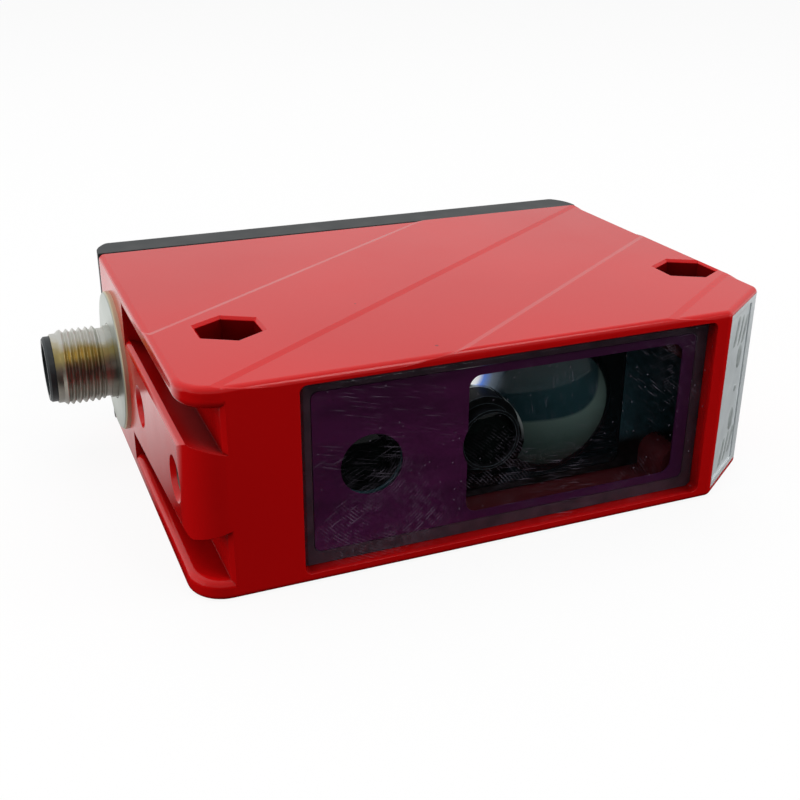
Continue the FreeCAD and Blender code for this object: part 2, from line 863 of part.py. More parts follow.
def near_range_detector():
    return chip(near_chip, detector_height, x_near, y_optics - detector_height)


def main_board():
    gap = carrier_gap
    corners = rectangle(x_board[0], x_board[1], z_floor + gap, z_ceiling - gap, rim_radius)
    board = inward(corners, y_board, y_board + thick_board)
    holes = [rod_y(small_screw_radius + screw_gap, y_board - over, y_board + thick_board + over, x, z)
             for x, z in spots(x_board_screws, z_small_screws)]
    return board.cut(holes)


def main_board_screws():
    return small_screws(y_board + thick_board, x_board_screws)


def main_processor():
    return chip(processor_size, processor_height, 0.0, y_board + thick_board)


def power_inductor():
    half = inductor_size / 2
    corners = rectangle(x_inductor - half, x_inductor + half, z_mid - half, z_mid + half, cavity_radius)
    return inward(corners, y_board - inductor_height, y_board)


def buffer_capacitors():
    cans = []
    for step in (1.5, 4.0):
        x = x_inductor + inductor_size / 2 + step * capacitor_radius
        cans.append(rod_y(capacitor_radius, y_board - capacitor_length, y_board, x, z_mid))
    return Part.makeCompound(cans)


def laser_flex():
    y_strip = y_optics + thin_board + flex_thickness / 2
    path = [(x_transmit, y_strip), (x_near, y_strip)]
    z_low = z_mid + diode_pin_circle + flex_bend
    return ribbon(path, z_low, z_low + flex_width / 2)


def receiver_flex():
    half = flex_thickness / 2
    x_run = x_shaft + shaft_width / 2
    path = [
        (x_shaft, y_optics + thin_board + half),
        (x_run, y_optics + thin_board + half),
        (x_run, y_board - half),
        (x_shaft, y_board - half),
    ]
    return ribbon(path, z_mid - flex_width / 2, z_mid + flex_width / 2)


# Outline of the indicator strip or its panel, cut off square to the end of the case.
def strip_corners(border, d_low, d_high):
    x_end = x_right - strip_end_gap - border
    start = strip_start + strip_gap + border
    return [
        corner_point(start, d_low),
        corner_at_x(x_end, d_low),
        corner_at_x(x_end, d_high),
        corner_point(start, d_high),
    ]


def indicator_window():
    z_low = strip_lip + strip_gap
    z_high = body_height - strip_lip - strip_gap
    strip = upright(strip_corners(0.0, strip_gap, strip_thickness), z_low, z_high)
    panel = [
        corner_point(strip_start + strip_gap + strip_rim, -over),
        corner_at_x(x_right - strip_end_gap - 2 * strip_rim, -over),
        corner_at_x(x_right - strip_end_gap - 2 * strip_rim, strip_gap + strip_panel),
        corner_point(strip_start + strip_gap + strip_rim, strip_gap + strip_panel),
    ]
    return strip.cut(upright(panel, z_low + strip_rim, z_high - strip_rim))


def indicator_board():
    d_low = strip_thickness + strip_wall
    d_high = d_low + indicator_board_thickness
    s_low = light_slot_start - indicator_board_border
    s_high = light_slot_start + light_slot_length + indicator_board_border
    corners = [
        corner_point(s_low, d_low),
        corner_point(s_high, d_low),
        corner_point(s_high, d_high),
        corner_point(s_low, d_high),
    ]
    half = light_slot_height / 2 + indicator_board_border
    return upright(corners, z_mid - half, z_mid + half)


def indicator_leds():
    d_high = strip_thickness + strip_wall
    s_mid = light_slot_start + light_slot_length / 2
    corners = [
        corner_point(s_mid - led_width / 2, d_high - led_depth),
        corner_point(s_mid + led_width / 2, d_high - led_depth),
        corner_point(s_mid + led_width / 2, d_high),
        corner_point(s_mid - led_width / 2, d_high),
    ]
    leds = []
    for z in (z_mid - led_spacing / 2, z_mid + led_spacing / 2):
        leds.append(upright(corners, z - led_height / 2, z + led_height / 2))
    return Part.makeCompound(leds)


def connector_disc():
    radius = disc_diameter / 2
    x_face = x_left - disc_proud
    return turned([
        (x_left, plug_radius + plug_gap),
        (x_left, radius),
        (x_face + disc_bevel, radius),
        (x_face, radius - disc_bevel),
        (x_face, plug_radius + plug_gap),
    ])


def connector_gasket():
    x_floor = x_left + gasket_depth
    ring = rod_x(gasket_radius, x_left, x_floor, y_plug, z_mid)
    return ring.cut(rod_x(plug_radius + plug_gap, x_left - over, x_floor + over, y_plug, z_mid))


# Threaded plug body as a plain turned sleeve: tail, collar, undercut, thread length, lead-in.
def connector_shell():
    x_collar = x_left - disc_proud
    x_undercut = x_collar - collar_length
    x_thread = x_undercut - undercut_length
    x_lead = x_thread - thread_length
    x_end = x_lead - lead_in
    bore = insert_radius + insert_gap
    tail_bore = insert_tail_radius + insert_gap
    x_shoulder = x_left + insert_shoulder
    return turned([
        (x_left + plug_tail, tail_bore),
        (x_left + plug_tail, plug_radius),
        (x_collar, plug_radius),
        (x_collar, collar_radius),
        (x_undercut, collar_radius),
        (x_undercut, undercut_radius),
        (x_thread, undercut_radius),
        (x_thread, plug_radius),
        (x_lead, plug_radius),
        (x_lead - plug_radius + lead_in_radius, lead_in_radius),
        (x_end, lead_in_radius),
        (x_end, bore),
        (x_shoulder, bore),
        (x_shoulder, tail_bore),
    ])


def plug_tip():
    x_end = x_left - disc_proud - collar_length - undercut_length - thread_length - lead_in
    return x_end - insert_nose


def pin_spots():
    places = [(y_plug, z_mid)]
    for angle in (45, 135, 225, 315):
        y = y_plug + pin_circle * math.cos(math.radians(angle))
        z = z_mid + pin_circle * math.sin(math.radians(angle))
        places.append((y, z))
    return places


# Contact carrier: a cup with a keying rib inside, solid behind its floor.
def connector_insert():
    x_tip = plug_tip()
    x_floor = x_tip + cup_depth
    x_rear = x_left + plug_tail + insert_gap
    x_shoulder = x_left + insert_shoulder
    body = turned([
        (x_rear, 0),
        (x_rear, insert_tail_radius),
        (x_shoulder, insert_tail_radius),
        (x_shoulder, insert_radius),
        (x_tip + disc_bevel, insert_radius),
        (x_tip, insert_radius - disc_bevel),
        (x_tip, 0),
    ])
    cup = rod_x(cup_radius, x_tip - over, x_floor, y_plug, z_mid)
    key = block(
        x_tip + pin_recess,
        x_floor,
        y_plug - key_width / 2,
        y_plug + key_width / 2,
        z_mid + cup_radius - key_height,
        z_mid + cup_radius + key_height / 2,
    )
    body = body.cut(cup).fuse(key)
    holes = [rod_x(pin_radius + pin_gap, x_floor - over, x_rear + over, y, z) for y, z in pin_spots()]
    return body.cut(holes).removeSplitter()


def board_face():
    return x_left + plug_tail + insert_gap


def contact_pins():
    x_low = plug_tip() + pin_recess
    x_high = board_face() + thin_board + pin_tail
    return Part.makeCompound([rod_x(pin_radius, x_low, x_high, y, z) for y, z in pin_spots()])


def connector_nut():
    x_low = x_left + end_wall
    flats = [(u, v) for u, v, _ in hexagon(nut_ring_flats, y_plug, z_mid, 30)]
    points = [Vector(x_low, u, v) for u, v in flats]
    nut = Part.Face(Part.makePolygon(points + points[:1])).extrude(Vector(nut_ring_thickness, 0, 0))
    x_high = x_low + nut_ring_thickness
    return nut.cut(rod_x(plug_radius + screw_gap, x_low - over, x_high + over, y_plug, z_mid))


def connector_board():
    half_width = connector_board_width / 2
    half_height = z_mid - cover_screw_edge - cover_boss - connector_board_gap
    board = block(
        board_face(),
        board_face() + thin_board,
        y_plug - half_width,
        y_plug + half_width,
        z_mid - half_height,
        z_mid + half_height,
    )
    holes = [rod_x(pin_radius + screw_gap, board_face() - over, board_face() + thin_board + over, y, z)
             for y, z in pin_spots()]
    return board.cut(holes)


def connector_flex():
    half = flex_thickness / 2
    x_start = board_face() + thin_board + half
    y_start = y_plug - pin_circle - 2 * pin_radius
    y_run = y_plug - connector_board_width / 2 - 2 * flex_bend
    x_run = x_board[0] + flex_bend
    path = [
        (x_start, y_start),
        (x_start, y_run),
        (x_run, y_run),
        (x_run, y_board - half),
        (x_run + flex_width, y_board - half),
    ]
    return ribbon(path, z_mid - flex_width / 2, z_mid + flex_width / 2)


nodes = (
    housing,
    rear_cover,
    rear_cover_seal,
    rear_cover_screws,
    front_window,
    window_seal,
    aperture_mask,
    optics_carrier,
    carrier_screws,
    receiver_lens,
    near_range_barrel,
    near_range_lens,
    near_range_detector,
    transmitter_barrel,
    transmitter_lens,
    laser_diode,
    laser_board,
    laser_flex,
    receiver_board,
    receiver_detector,
    receiver_flex,
    main_board,
    main_board_screws,
    main_processor,
    power_inductor,
    buffer_capacitors,
    indicator_window,
    indicator_board,
    indicator_leds,
    connector_disc,
    connector_gasket,
    connector_shell,
    connector_insert,
    contact_pins,
    connector_nut,
    connector_board,
    connector_flex,
)

os.makedirs("parts", exist_ok=True)
for node in nodes:
    shape = node()
    shape.exportStep("parts/" + node.__name__ + ".step")
    state = "valid" if shape.isValid() else "NOT VALID"
    print(node.__name__, len(shape.Solids), "solids", round(shape.Volume, 2), "mm3", state)
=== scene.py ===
import math

import bpy
import numpy as np
from mathutils import Matrix, Vector


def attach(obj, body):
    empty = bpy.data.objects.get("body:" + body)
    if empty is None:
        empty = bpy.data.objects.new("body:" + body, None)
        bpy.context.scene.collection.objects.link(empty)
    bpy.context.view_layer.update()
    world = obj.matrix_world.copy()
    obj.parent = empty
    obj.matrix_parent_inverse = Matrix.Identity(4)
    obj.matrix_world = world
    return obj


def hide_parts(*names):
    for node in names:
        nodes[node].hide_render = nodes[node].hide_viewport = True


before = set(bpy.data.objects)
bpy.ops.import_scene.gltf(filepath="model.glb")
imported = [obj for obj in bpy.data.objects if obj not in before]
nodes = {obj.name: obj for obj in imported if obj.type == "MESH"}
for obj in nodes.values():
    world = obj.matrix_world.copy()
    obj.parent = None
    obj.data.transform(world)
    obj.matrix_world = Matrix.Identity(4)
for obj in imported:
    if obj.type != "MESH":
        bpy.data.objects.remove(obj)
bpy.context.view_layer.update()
mm = 0.001
print("loaded", len(nodes), "nodes")


# sRGB hex to linear red, green, blue and alpha.
def hexToLinear(text):
    parts = np.array([int(text[i:i + 2], 16) for i in (1, 3, 5)]) / 255.0
    linear = np.where(parts <= 0.04045, parts / 12.92, ((parts + 0.055) / 1.055) ** 2.4)
    return (*linear.tolist(), 1.0)


# Texture scale whose features are about this many millimetres across.
def perMm(size):
    return 1.0 / (size * mm)


# Wave texture scale whose bands are this many millimetres apart: at scale 1 they are 0.314 apart.
def bandsPerMm(size):
    return 0.314 / (size * mm)


def inMetres(sizes):
    return tuple(size * mm for size in sizes)


# Map Range limits from a pair in millimetres.
def between(pair):
    return {1: pair[0] * mm, 2: pair[1] * mm}


# Adds one node: values go on its inputs, links come from other sockets, stops fill a ramp.
# By number, Map Range has its value on 0, its limits on 1 and 2 and its results on 3 and 4,
# and Mix has its share on 0 and its colours on 6 and 7.
def addNode(tree, kind, values=None, links=None, stops=None, **settings):
    node = tree.nodes.new("ShaderNode" + kind)
    for name, value in settings.items():
        setattr(node, name, value)
    for name, value in (values or {}).items():
        node.inputs[name].default_value = value
    for name, socket in (links or {}).items():
        tree.links.new(socket, node.inputs[name])
    if stops:
        elements = node.color_ramp.elements
        while len(elements) < len(stops):
            elements.new(0.5)
        for element, (spot, colour) in zip(elements, stops):
            element.position = spot
            element.color = hexToLinear(colour)
    return node


# Empty material with its object coordinates and its output ready.
def newMaterial(name):
    material = bpy.data.materials.new(name)
    material.use_nodes = True
    tree = material.node_tree
    tree.nodes.clear()
    spot = addNode(tree, "TexCoord").outputs["Object"]
    output = addNode(tree, "OutputMaterial")
    return material, tree, spot, output


def dress(material, *names):
    for name in names:
        slots = nodes[name].data.materials
        slots.clear()
        slots.append(material)


# Distance in metres from a point x, z in millimetres, as seen from the front: depth is left out.
def awayFrom(tree, spot, x, z):
    off = addNode(tree, "VectorMath", {1: (x * mm, 0.0, z * mm)}, {0: spot}, operation="SUBTRACT")
    flat = addNode(tree, "VectorMath", {1: (1.0, 0.0, 1.0)}, {0: off.outputs[0]}, operation="MULTIPLY")
    return addNode(tree, "VectorMath", links={0: flat.outputs[0]}, operation="LENGTH").outputs["Value"]


# Die-cast zinc under gloss enamel: a deep even red, a mirror sheen with a faint orange peel, soft light
# along every edge, painted shade in the recesses, the hollow inside and the nut pockets, where the reflection
# is turned down too, and a few grains of dust in the coat.
enamel = dict(
    colour="#D40B0D", shade="#CC0A0C", thin="#6C0507", inside="#5E2026", pocket="#6A0305", chip="#7A1416",
    dust=[(0.5, "#3A0606"), (0.55, "#C99A92")], roughness=0.13, smear=0.08, toneMm=40, smearMm=9, peelMm=1.3,
    peelDepthMm=0.05, speckMm=7.0, speckSize=0.022, speckless=0.62, edgeMm=0.12, recessMm=6.0,
    chipMm=(-10.4, -31.5, 30.0), chipSizeMm=0.3,
    hollowMm=(0.75, 0.5, 15.0), hollowHalfMm=(31.8, 33.4, 13.4),
    pocketsMm=[(-34.0, -15.4, 26.0), (40.0, -15.4, 26.0)], pocketHalfMm=(4.85, 4.85, 3.5))


def makeRedEnamel():
    material, tree, spot, output = newMaterial("redEnamelOnZinc")
    tone = addNode(tree, "TexNoise", {"Scale": perMm(enamel["toneMm"]), "Detail": 1.0}, {"Vector": spot})
    red = addNode(tree, "ValToRGB", links={"Fac": tone.outputs["Fac"]},
                  stops=[(0.3, enamel["shade"]), (0.6, enamel["colour"])])
    reach = addNode(tree, "AmbientOcclusion", {"Distance": enamel["recessMm"] * mm}, samples=8,
                    only_local=True)
    # painted shade: the red darkens towards the recess colour where little of the surroundings is open
    bare = addNode(tree, "MapRange", {1: 0.25, 2: 0.85}, {0: reach.outputs["AO"]})
    coat = addNode(tree, "Mix", {6: hexToLinear(enamel["thin"])}, {0: bare.outputs[0], 7: red.outputs[0]},
                   data_type="RGBA").outputs[2]
    # painted shade: darker red boxes over the hollow inside and the nut pockets
    boxes = [(enamel["hollowMm"], enamel["hollowHalfMm"], enamel["inside"])]
    boxes += [(centre, enamel["pocketHalfMm"], enamel["pocket"]) for centre in enamel["pocketsMm"]]
    for centre, half, shade in boxes:  # painted shade on the hollow inside and in the nut pockets
        off = addNode(tree, "VectorMath", {1: inMetres(centre)}, {0: spot}, operation="SUBTRACT")
        part = addNode(tree, "VectorMath", {1: inMetres(half)}, {0: off.outputs[0]}, operation="DIVIDE")
        size = addNode(tree, "VectorMath", links={0: part.outputs[0]}, operation="ABSOLUTE")
        sides = addNode(tree, "SeparateXYZ", links={0: size.outputs[0]})
        far = addNode(tree, "Math", links={0: sides.outputs[0], 1: sides.outputs[1]}, operation="MAXIMUM")
        far = addNode(tree, "Math", links={0: far.outputs[0], 1: sides.outputs[2]}, operation="MAXIMUM")
        within = addNode(tree, "Math", {1: 1.0}, {0: far.outputs[0]}, operation="LESS_THAN")
        coat = addNode(tree, "Mix", {7: hexToLinear(shade)}, {0: within.outputs[0], 6: coat},
                       data_type="RGBA").outputs[2]
    cells = addNode(tree, "TexVoronoi", {"Scale": perMm(enamel["speckMm"])}, {"Vector": spot})
    grain = addNode(tree, "Math", {1: enamel["speckSize"]}, {0: cells.outputs["Distance"]},
                    operation="LESS_THAN")
    pick = addNode(tree, "SeparateColor", links={0: cells.outputs["Color"]})
    rare = addNode(tree, "Math", {1: enamel["speckless"]}, {0: pick.outputs[0]}, operation="GREATER_THAN")
    speck = addNode(tree, "Math", links={0: grain.outputs[0], 1: rare.outputs[0]}, operation="MULTIPLY")
    dust = addNode(tree, "ValToRGB", links={"Fac": pick.outputs[1]}, stops=enamel["dust"])
    dusty = addNode(tree, "Mix", links={0: speck.outputs[0], 6: coat, 7: dust.outputs[0]}, data_type="RGBA")
    away = addNode(tree, "VectorMath", {1: inMetres(enamel["chipMm"])}, {0: spot}, operation="DISTANCE")
    chip = addNode(tree, "Math", {1: enamel["chipSizeMm"] * mm}, {0: away.outputs["Value"]},
                   operation="LESS_THAN")
    colour = addNode(tree, "Mix", {7: hexToLinear(enamel["chip"])}, {0: chip.outputs[0], 6: dusty.outputs[2]},
                     data_type="RGBA")
    smear = addNode(tree, "TexNoise", {"Scale": perMm(enamel["smearMm"]), "Detail": 3.0}, {"Vector": spot})
    least = enamel["roughness"]
    gloss = addNode(tree, "MapRange", {1: 0.35, 2: 0.7, 3: least, 4: least + enamel["smear"]},
                    {0: smear.outputs["Fac"]})
    edge = addNode(tree, "Bevel", {"Radius": enamel["edgeMm"] * mm}, samples=6)
    peel = addNode(tree, "TexNoise", {"Scale": perMm(enamel["peelMm"]), "Detail": 1.0}, {"Vector": spot})
    skin = addNode(tree, "Bump", {"Strength": 0.05, "Distance": enamel["peelDepthMm"] * mm},
                   {"Height": peel.outputs["Fac"], "Normal": edge.outputs[0]})
    # painted shade on the reflection: less specular in the recesses
    sheen = addNode(tree, "MapRange", {1: 0.35, 2: 0.9, 3: 0.05, 4: 0.5}, {0: reach.outputs["AO"]})
    body = addNode(tree, "BsdfPrincipled", {"IOR": 1.5},
                   {"Base Color": colour.outputs[2], "Roughness": gloss.outputs[0],
                    "Normal": skin.outputs[0], "Specular IOR Level": sheen.outputs[0]})
    tree.links.new(body.outputs[0], output.inputs[0])
    return material


dress(makeRedEnamel(), "housing")
print("red enamel on the housing")

# Glass-filled polyester moulded in a spark-eroded tool: near black, with a fine even grain and a grey
# sheen at a low angle.
moulding = dict(colour="#1B1F21", pale="#272C2E", roughness=0.42, cloudy=0.12, cloudMm=5, grainMm=0.42,
                grainDepthMm=0.05, edgeMm=0.3)


def makeBlackMoulding():
    material, tree, spot, output = newMaterial("blackMouldedPolyester")
    cloud = addNode(tree, "TexNoise", {"Scale": perMm(moulding["cloudMm"]), "Detail": 3.0}, {"Vector": spot})
    colour = addNode(tree, "ValToRGB", links={"Fac": cloud.outputs["Fac"]},
                     stops=[(0.35, moulding["colour"]), (0.7, moulding["pale"])])
    grain = addNode(tree, "TexNoise", {"Scale": perMm(moulding["grainMm"]), "Detail": 2.0}, {"Vector": spot})
    edge = addNode(tree, "Bevel", {"Radius": moulding["edgeMm"] * mm}, samples=4)
    skin = addNode(tree, "Bump", {"Strength": 0.25, "Distance": moulding["grainDepthMm"] * mm},
                   {"Height": grain.outputs["Fac"], "Normal": edge.outputs[0]})
    least = moulding["roughness"]
    matt = addNode(tree, "MapRange", {1: 0.3, 2: 0.7, 3: least, 4: least + moulding["cloudy"]},
                   {0: cloud.outputs["Fac"]})
    body = addNode(tree, "BsdfPrincipled", {"IOR": 1.55},
                   {"Base Color": colour.outputs[0], "Roughness": matt.outputs[0], "Normal": skin.outputs[0]})
    tree.links.new(body.outputs[0], output.inputs[0])
    return material


dress(makeBlackMoulding(), "rear_cover")
print("black cover behind")

# Float glass that has been handled: clear and colourless, with fine wipe marks, finger ridges and dust that
# show as a pale film over the dark inside. Ridges and wipes are drawn coarser than real ones, so they show.
# A wipe is turn, length, x, z and radius of its place; a print is x, z, radius and the point it curls about.
pane = dict(
    film="#C9BBD2", strength=0.42, passes=(0.95, 0.96, 0.96, 1.0), ridgeMm=0.42, wipeMm=0.16, dustMm=1.3,
    poreMm=0.9, patchMm=6,
    wipes=[(0.25, 4.0, -20.0, 22.5, 13.0), (-0.5, 3.0, -22.0, 12.0, 11.0), (1.4, 3.0, 7.0, 23.0, 8.0),
           (0.7, 3.0, 25.0, 22.0, 9.0), (0.1, 3.5, 6.0, 8.0, 12.0)],
    prints=[(-15.0, 8.5, 8.5, -27.0, 21.0), (-22.5, 5.5, 7.0, -10.0, 24.0), (-3.6, 12.0, 7.0, -20.0, -4.0),
            (20.5, 6.5, 5.5, 12.0, 1.0), (26.0, 23.5, 5.0, 30.0, 2.0)])


def makeHandledGlass():
    material, tree, spot, output = newMaterial("handledFloatGlass")

    def keepNear(mark, x, z, radius):  # full in the middle of a touched place, none at its rim
        near = addNode(tree, "MapRange", {1: radius * 0.4 * mm, 2: radius * mm, 3: 1.0, 4: 0.0},
                       {0: awayFrom(tree, spot, x, z)})
        return addNode(tree, "Math", links={0: mark.outputs[0], 1: near.outputs[0]}, operation="MULTIPLY")

    touches = []
    for turn, reach, x, z, radius in pane["wipes"]:  # wipe marks run one way in each place
        lay = addNode(tree, "Mapping",
                      {"Rotation": (0.0, turn, 0.0), "Scale": (reach * mm, 1.0, pane["wipeMm"] * mm)},
                      {"Vector": spot}, vector_type="TEXTURE")
        streak = addNode(tree, "TexNoise", {"Scale": 1.0, "Detail": 1.0, "Roughness": 0.4},
                         {"Vector": lay.outputs[0]})
        line = addNode(tree, "MapRange", {1: 0.6, 2: 0.8, 3: 0.0, 4: 0.8}, {0: streak.outputs["Fac"]})
        touches.append(keepNear(line, x, z, radius))
    pores = addNode(tree, "TexNoise", {"Scale": perMm(pane["poreMm"]), "Detail": 1.0}, {"Vector": spot})
    broken = addNode(tree, "MapRange", {1: 0.4, 2: 0.62}, {0: pores.outputs["Fac"]})
    for x, z, radius, curlX, curlZ in pane["prints"]:  # finger ridges curl about one point
        curl = addNode(tree, "VectorMath", {1: (curlX * mm, 0.0, curlZ * mm)}, {0: spot},
                       operation="SUBTRACT")
        ridges = addNode(tree, "TexWave", {"Scale": bandsPerMm(pane["ridgeMm"]), "Distortion": 6.0,
                                           "Detail": 1.5, "Detail Scale": 0.14},
                         {"Vector": curl.outputs[0]}, wave_type="RINGS", rings_direction="Y")
        crest = addNode(tree, "MapRange", {1: 0.55, 2: 0.95, 3: 0.0, 4: 0.55}, {0: ridges.outputs["Fac"]})
        crest = addNode(tree, "Math", links={0: crest.outputs[0], 1: broken.outputs[0]},
                        operation="MULTIPLY")
        touches.append(keepNear(crest, x, z, radius))
    film = touches[0]
    for touch in touches[1:]:
        film = addNode(tree, "Math", links={0: film.outputs[0], 1: touch.outputs[0]}, operation="MAXIMUM")
    patch = addNode(tree, "TexNoise", {"Scale": perMm(pane["patchMm"]), "Detail": 3.0}, {"Vector": spot})
    uneven = addNode(tree, "MapRange", {1: 0.4, 2: 0.62, 3: 0.1, 4: 1.0}, {0: patch.outputs["Fac"]})
    film = addNode(tree, "Math", links={0: film.outputs[0], 1: uneven.outputs[0]}, operation="MULTIPLY")
    cells = addNode(tree, "TexVoronoi", {"Scale": perMm(pane["dustMm"])}, {"Vector": spot})
    dust = addNode(tree, "MapRange", {1: 0.04, 2: 0.11, 3: 0.6, 4: 0.0}, {0: cells.outputs["Distance"]})
    film = addNode(tree, "Math", links={0: film.outputs[0], 1: dust.outputs[0]}, operation="MAXIMUM")
    geometry = addNode(tree, "NewGeometry")
    outside = addNode(tree, "MapRange", {3: 1.0, 4: 0.0}, {0: geometry.outputs["Backfacing"]})
    share = addNode(tree, "Math", {1: pane["strength"]}, {0: film.outputs[0]}, operation="MULTIPLY",
                    use_clamp=True)
    clear = addNode(tree, "BsdfTransparent", {"Color": pane["passes"]})
    mirror = addNode(tree, "BsdfGlossy", {"Roughness": 0.02})
    face = addNode(tree, "Fresnel", {"IOR": 1.5})
    shine = addNode(tree, "Math", links={0: face.outputs[0], 1: outside.outputs[0]}, operation="MULTIPLY")
    glass = addNode(tree, "MixShader", links={0: shine.outputs[0], 1: clear.outputs[0], 2: mirror.outputs[0]})
    haze = addNode(tree, "BsdfDiffuse", {"Color": hexToLinear(pane["film"])})
    front = addNode(tree, "Math", links={0: share.outputs[0], 1: outside.outputs[0]}, operation="MULTIPLY")
    whole = addNode(tree, "MixShader", links={0: front.outputs[0], 1: glass.outputs[0], 2: haze.outputs[0]})
    tree.links.new(whole.outputs[0], output.inputs[0])
    return material


dress(makeHandledGlass(), "front_window")
print("glass in the window")

# Screen-printed ink on the back of the pane: dense plum, a little uneven where the squeegee passed, and a
# shade deeper on the far half.
ink = dict(colour="#5A1C4E", deep="#42123A", far="#4A1A44", roughness=0.4, sweepMm=(16, 4, 4),
           deepenMm=(-8.0, 12.0))


def makePlumInk():
    material, tree, spot, output = newMaterial("plumScreenInk")
    lay = addNode(tree, "Mapping", {"Scale": tuple(perMm(size) for size in ink["sweepMm"])}, {"Vector": spot})
    sweep = addNode(tree, "TexNoise", {"Scale": 1.0, "Detail": 4.0}, {"Vector": lay.outputs[0]})
    colour = addNode(tree, "ValToRGB", links={"Fac": sweep.outputs["Fac"]},
                     stops=[(0.32, ink["deep"]), (0.68, ink["colour"])])
    place = addNode(tree, "SeparateXYZ", links={0: spot})
    side = addNode(tree, "MapRange", between(ink["deepenMm"]), {0: place.outputs[0]})
    tint = addNode(tree, "Mix", {7: hexToLinear(ink["far"])}, {0: side.outputs[0], 6: colour.outputs[0]},
                   data_type="RGBA")
    body = addNode(tree, "BsdfPrincipled", {"IOR": 1.5, "Roughness": ink["roughness"]},
                   {"Base Color": tint.outputs[2]})
    tree.links.new(body.outputs[0], output.inputs[0])
    return material


dress(makePlumInk(), "aperture_mask")

# Cured black rubber and adhesive: dull, slightly cloudy grey-black.
rubber = dict(colour="#37292E", deep="#241A1E", roughness=0.6, cloudMm=2.5, grainDepthMm=0.05)


def makeDullRubber():
    material, tree, spot, output = newMaterial("dullSealRubber")
    cloud = addNode(tree, "TexNoise", {"Scale": perMm(rubber["cloudMm"]), "Detail": 3.0}, {"Vector": spot})
    colour = addNode(tree, "ValToRGB", links={"Fac": cloud.outputs["Fac"]},
                     stops=[(0.3, rubber["deep"]), (0.7, rubber["colour"])])
    skin = addNode(tree, "Bump", {"Strength": 0.2, "Distance": rubber["grainDepthMm"] * mm},
                   {"Height": cloud.outputs["Fac"]})
    body = addNode(tree, "BsdfPrincipled", {"Roughness": rubber["roughness"]},
                   {"Base Color": colour.outputs[0], "Normal": skin.outputs[0]})
    tree.links.new(body.outputs[0], output.inputs[0])
    return material


dress(makeDullRubber(), "rear_cover_seal", "connector_gasket")

# Black silicone bond under the edge of the pane: dull grey with a plum cast from the print, and a few pin
# bubbles, each given by x and z.
bond = dict(colour="#543A48", deep="#3E2B36", bubble="#120C10", roughness=0.6, cloudMm=3.0, bubbleMm=0.22,
            bubbles=[(5.8, 28.2), (7.1, 28.2), (8.6, 28.2)])


def makeSiliconeBond():
    material, tree, spot, output = newMaterial("siliconeWindowBond")
    cloud = addNode(tree, "TexNoise", {"Scale": perMm(bond["cloudMm"]), "Detail": 3.0}, {"Vector": spot})
    colour = addNode(tree, "ValToRGB", links={"Fac": cloud.outputs["Fac"]},
                     stops=[(0.3, bond["deep"]), (0.7, bond["colour"])]).outputs[0]
    for x, z in bond["bubbles"]:
        pin = addNode(tree, "Math", {1: bond["bubbleMm"] * mm}, {0: awayFrom(tree, spot, x, z)},
                      operation="LESS_THAN")
        colour = addNode(tree, "Mix", {7: hexToLinear(bond["bubble"])}, {0: pin.outputs[0], 6: colour},
                         data_type="RGBA").outputs[2]
    body = addNode(tree, "BsdfPrincipled", {"Roughness": bond["roughness"]}, {"Base Color": colour})
    tree.links.new(body.outputs[0], output.inputs[0])
    return material


dress(makeSiliconeBond(), "window_seal")
print("print, bond and seals dressed")

# Polycarbonate moulded with a matt finish to swallow stray light: blue-black, with a painted highlight, a
# thin paler line, on each edge. The carrier's plastic, the contact polyamide and the chip resin are greyer
# and a little smoother.
# Each finish is its colour, the paler cloud in it and the colour of its painted edge highlight.
optic = dict(
    black=("#050607", "#0B0D0F", "#59646A"), tube=("#050607", "#0B0D0F", "#0B0D0F"),
    carrier=("#26424C", "#32525C", "#3E606A"), contact=("#1E2426", "#2C3335", "#4A5253"),
    chip=("#141517", "#202124", "#2C2E31"), step="#D4DCDC", stepMm=(-26.55, -26.4), soot="#050607",
    sootMm=(7.0, 8.5), wornMm=0.2, cloudMm=1.2, grainDepthMm=0.04)


def makeMattOptic(name, tones, roughness, shine=0.5, stepped=False, sooty=False):
    material, tree, spot, output = newMaterial(name)
    colour, pale, worn = tones
    cloud = addNode(tree, "TexNoise", {"Scale": perMm(optic["cloudMm"]), "Detail": 4.0}, {"Vector": spot})
    tint = addNode(tree, "ValToRGB", links={"Fac": cloud.outputs["Fac"]},
                   stops=[(0.3, colour), (0.7, pale)])
    # painted highlight: the edge colour goes where the rounded normal parts from the true one
    edge = addNode(tree, "Bevel", {"Radius": optic["wornMm"] * mm}, samples=6)
    plain = addNode(tree, "NewGeometry")
    alike = addNode(tree, "VectorMath", links={0: edge.outputs[0], 1: plain.outputs["True Normal"]},
                    operation="DOT_PRODUCT")
    rub = addNode(tree, "MapRange", {1: 0.97, 2: 0.8}, {0: alike.outputs["Value"]})
    shade = addNode(tree, "Mix", {7: hexToLinear(worn)}, {0: rub.outputs[0], 6: tint.outputs[0]},
                    data_type="RGBA")
    place = addNode(tree, "SeparateXYZ", links={0: spot})
    if stepped:  # painted highlight: a bright ring at the back of the tube
        back = addNode(tree, "MapRange", between(optic["stepMm"]), {0: place.outputs[1]})
        shade = addNode(tree, "Mix", {7: hexToLinear(optic["step"])},
                        {0: back.outputs[0], 6: shade.outputs[2]}, data_type="RGBA")
    if sooty:  # painted shade: the lower bar goes near black
        low = addNode(tree, "MapRange", {**between(optic["sootMm"]), 3: 1.0, 4: 0.0}, {0: place.outputs[2]})
        shade = addNode(tree, "Mix", {7: hexToLinear(optic["soot"])},
                        {0: low.outputs[0], 6: shade.outputs[2]}, data_type="RGBA")
    skin = addNode(tree, "Bump", {"Strength": 0.2, "Distance": optic["grainDepthMm"] * mm},
                   {"Height": cloud.outputs["Fac"]})
    body = addNode(tree, "BsdfPrincipled", {"IOR": 1.55, "Roughness": roughness, "Specular IOR Level": shine},
                   {"Base Color": shade.outputs[2], "Normal": skin.outputs[0]})
    tree.links.new(body.outputs[0], output.inputs[0])
    return material


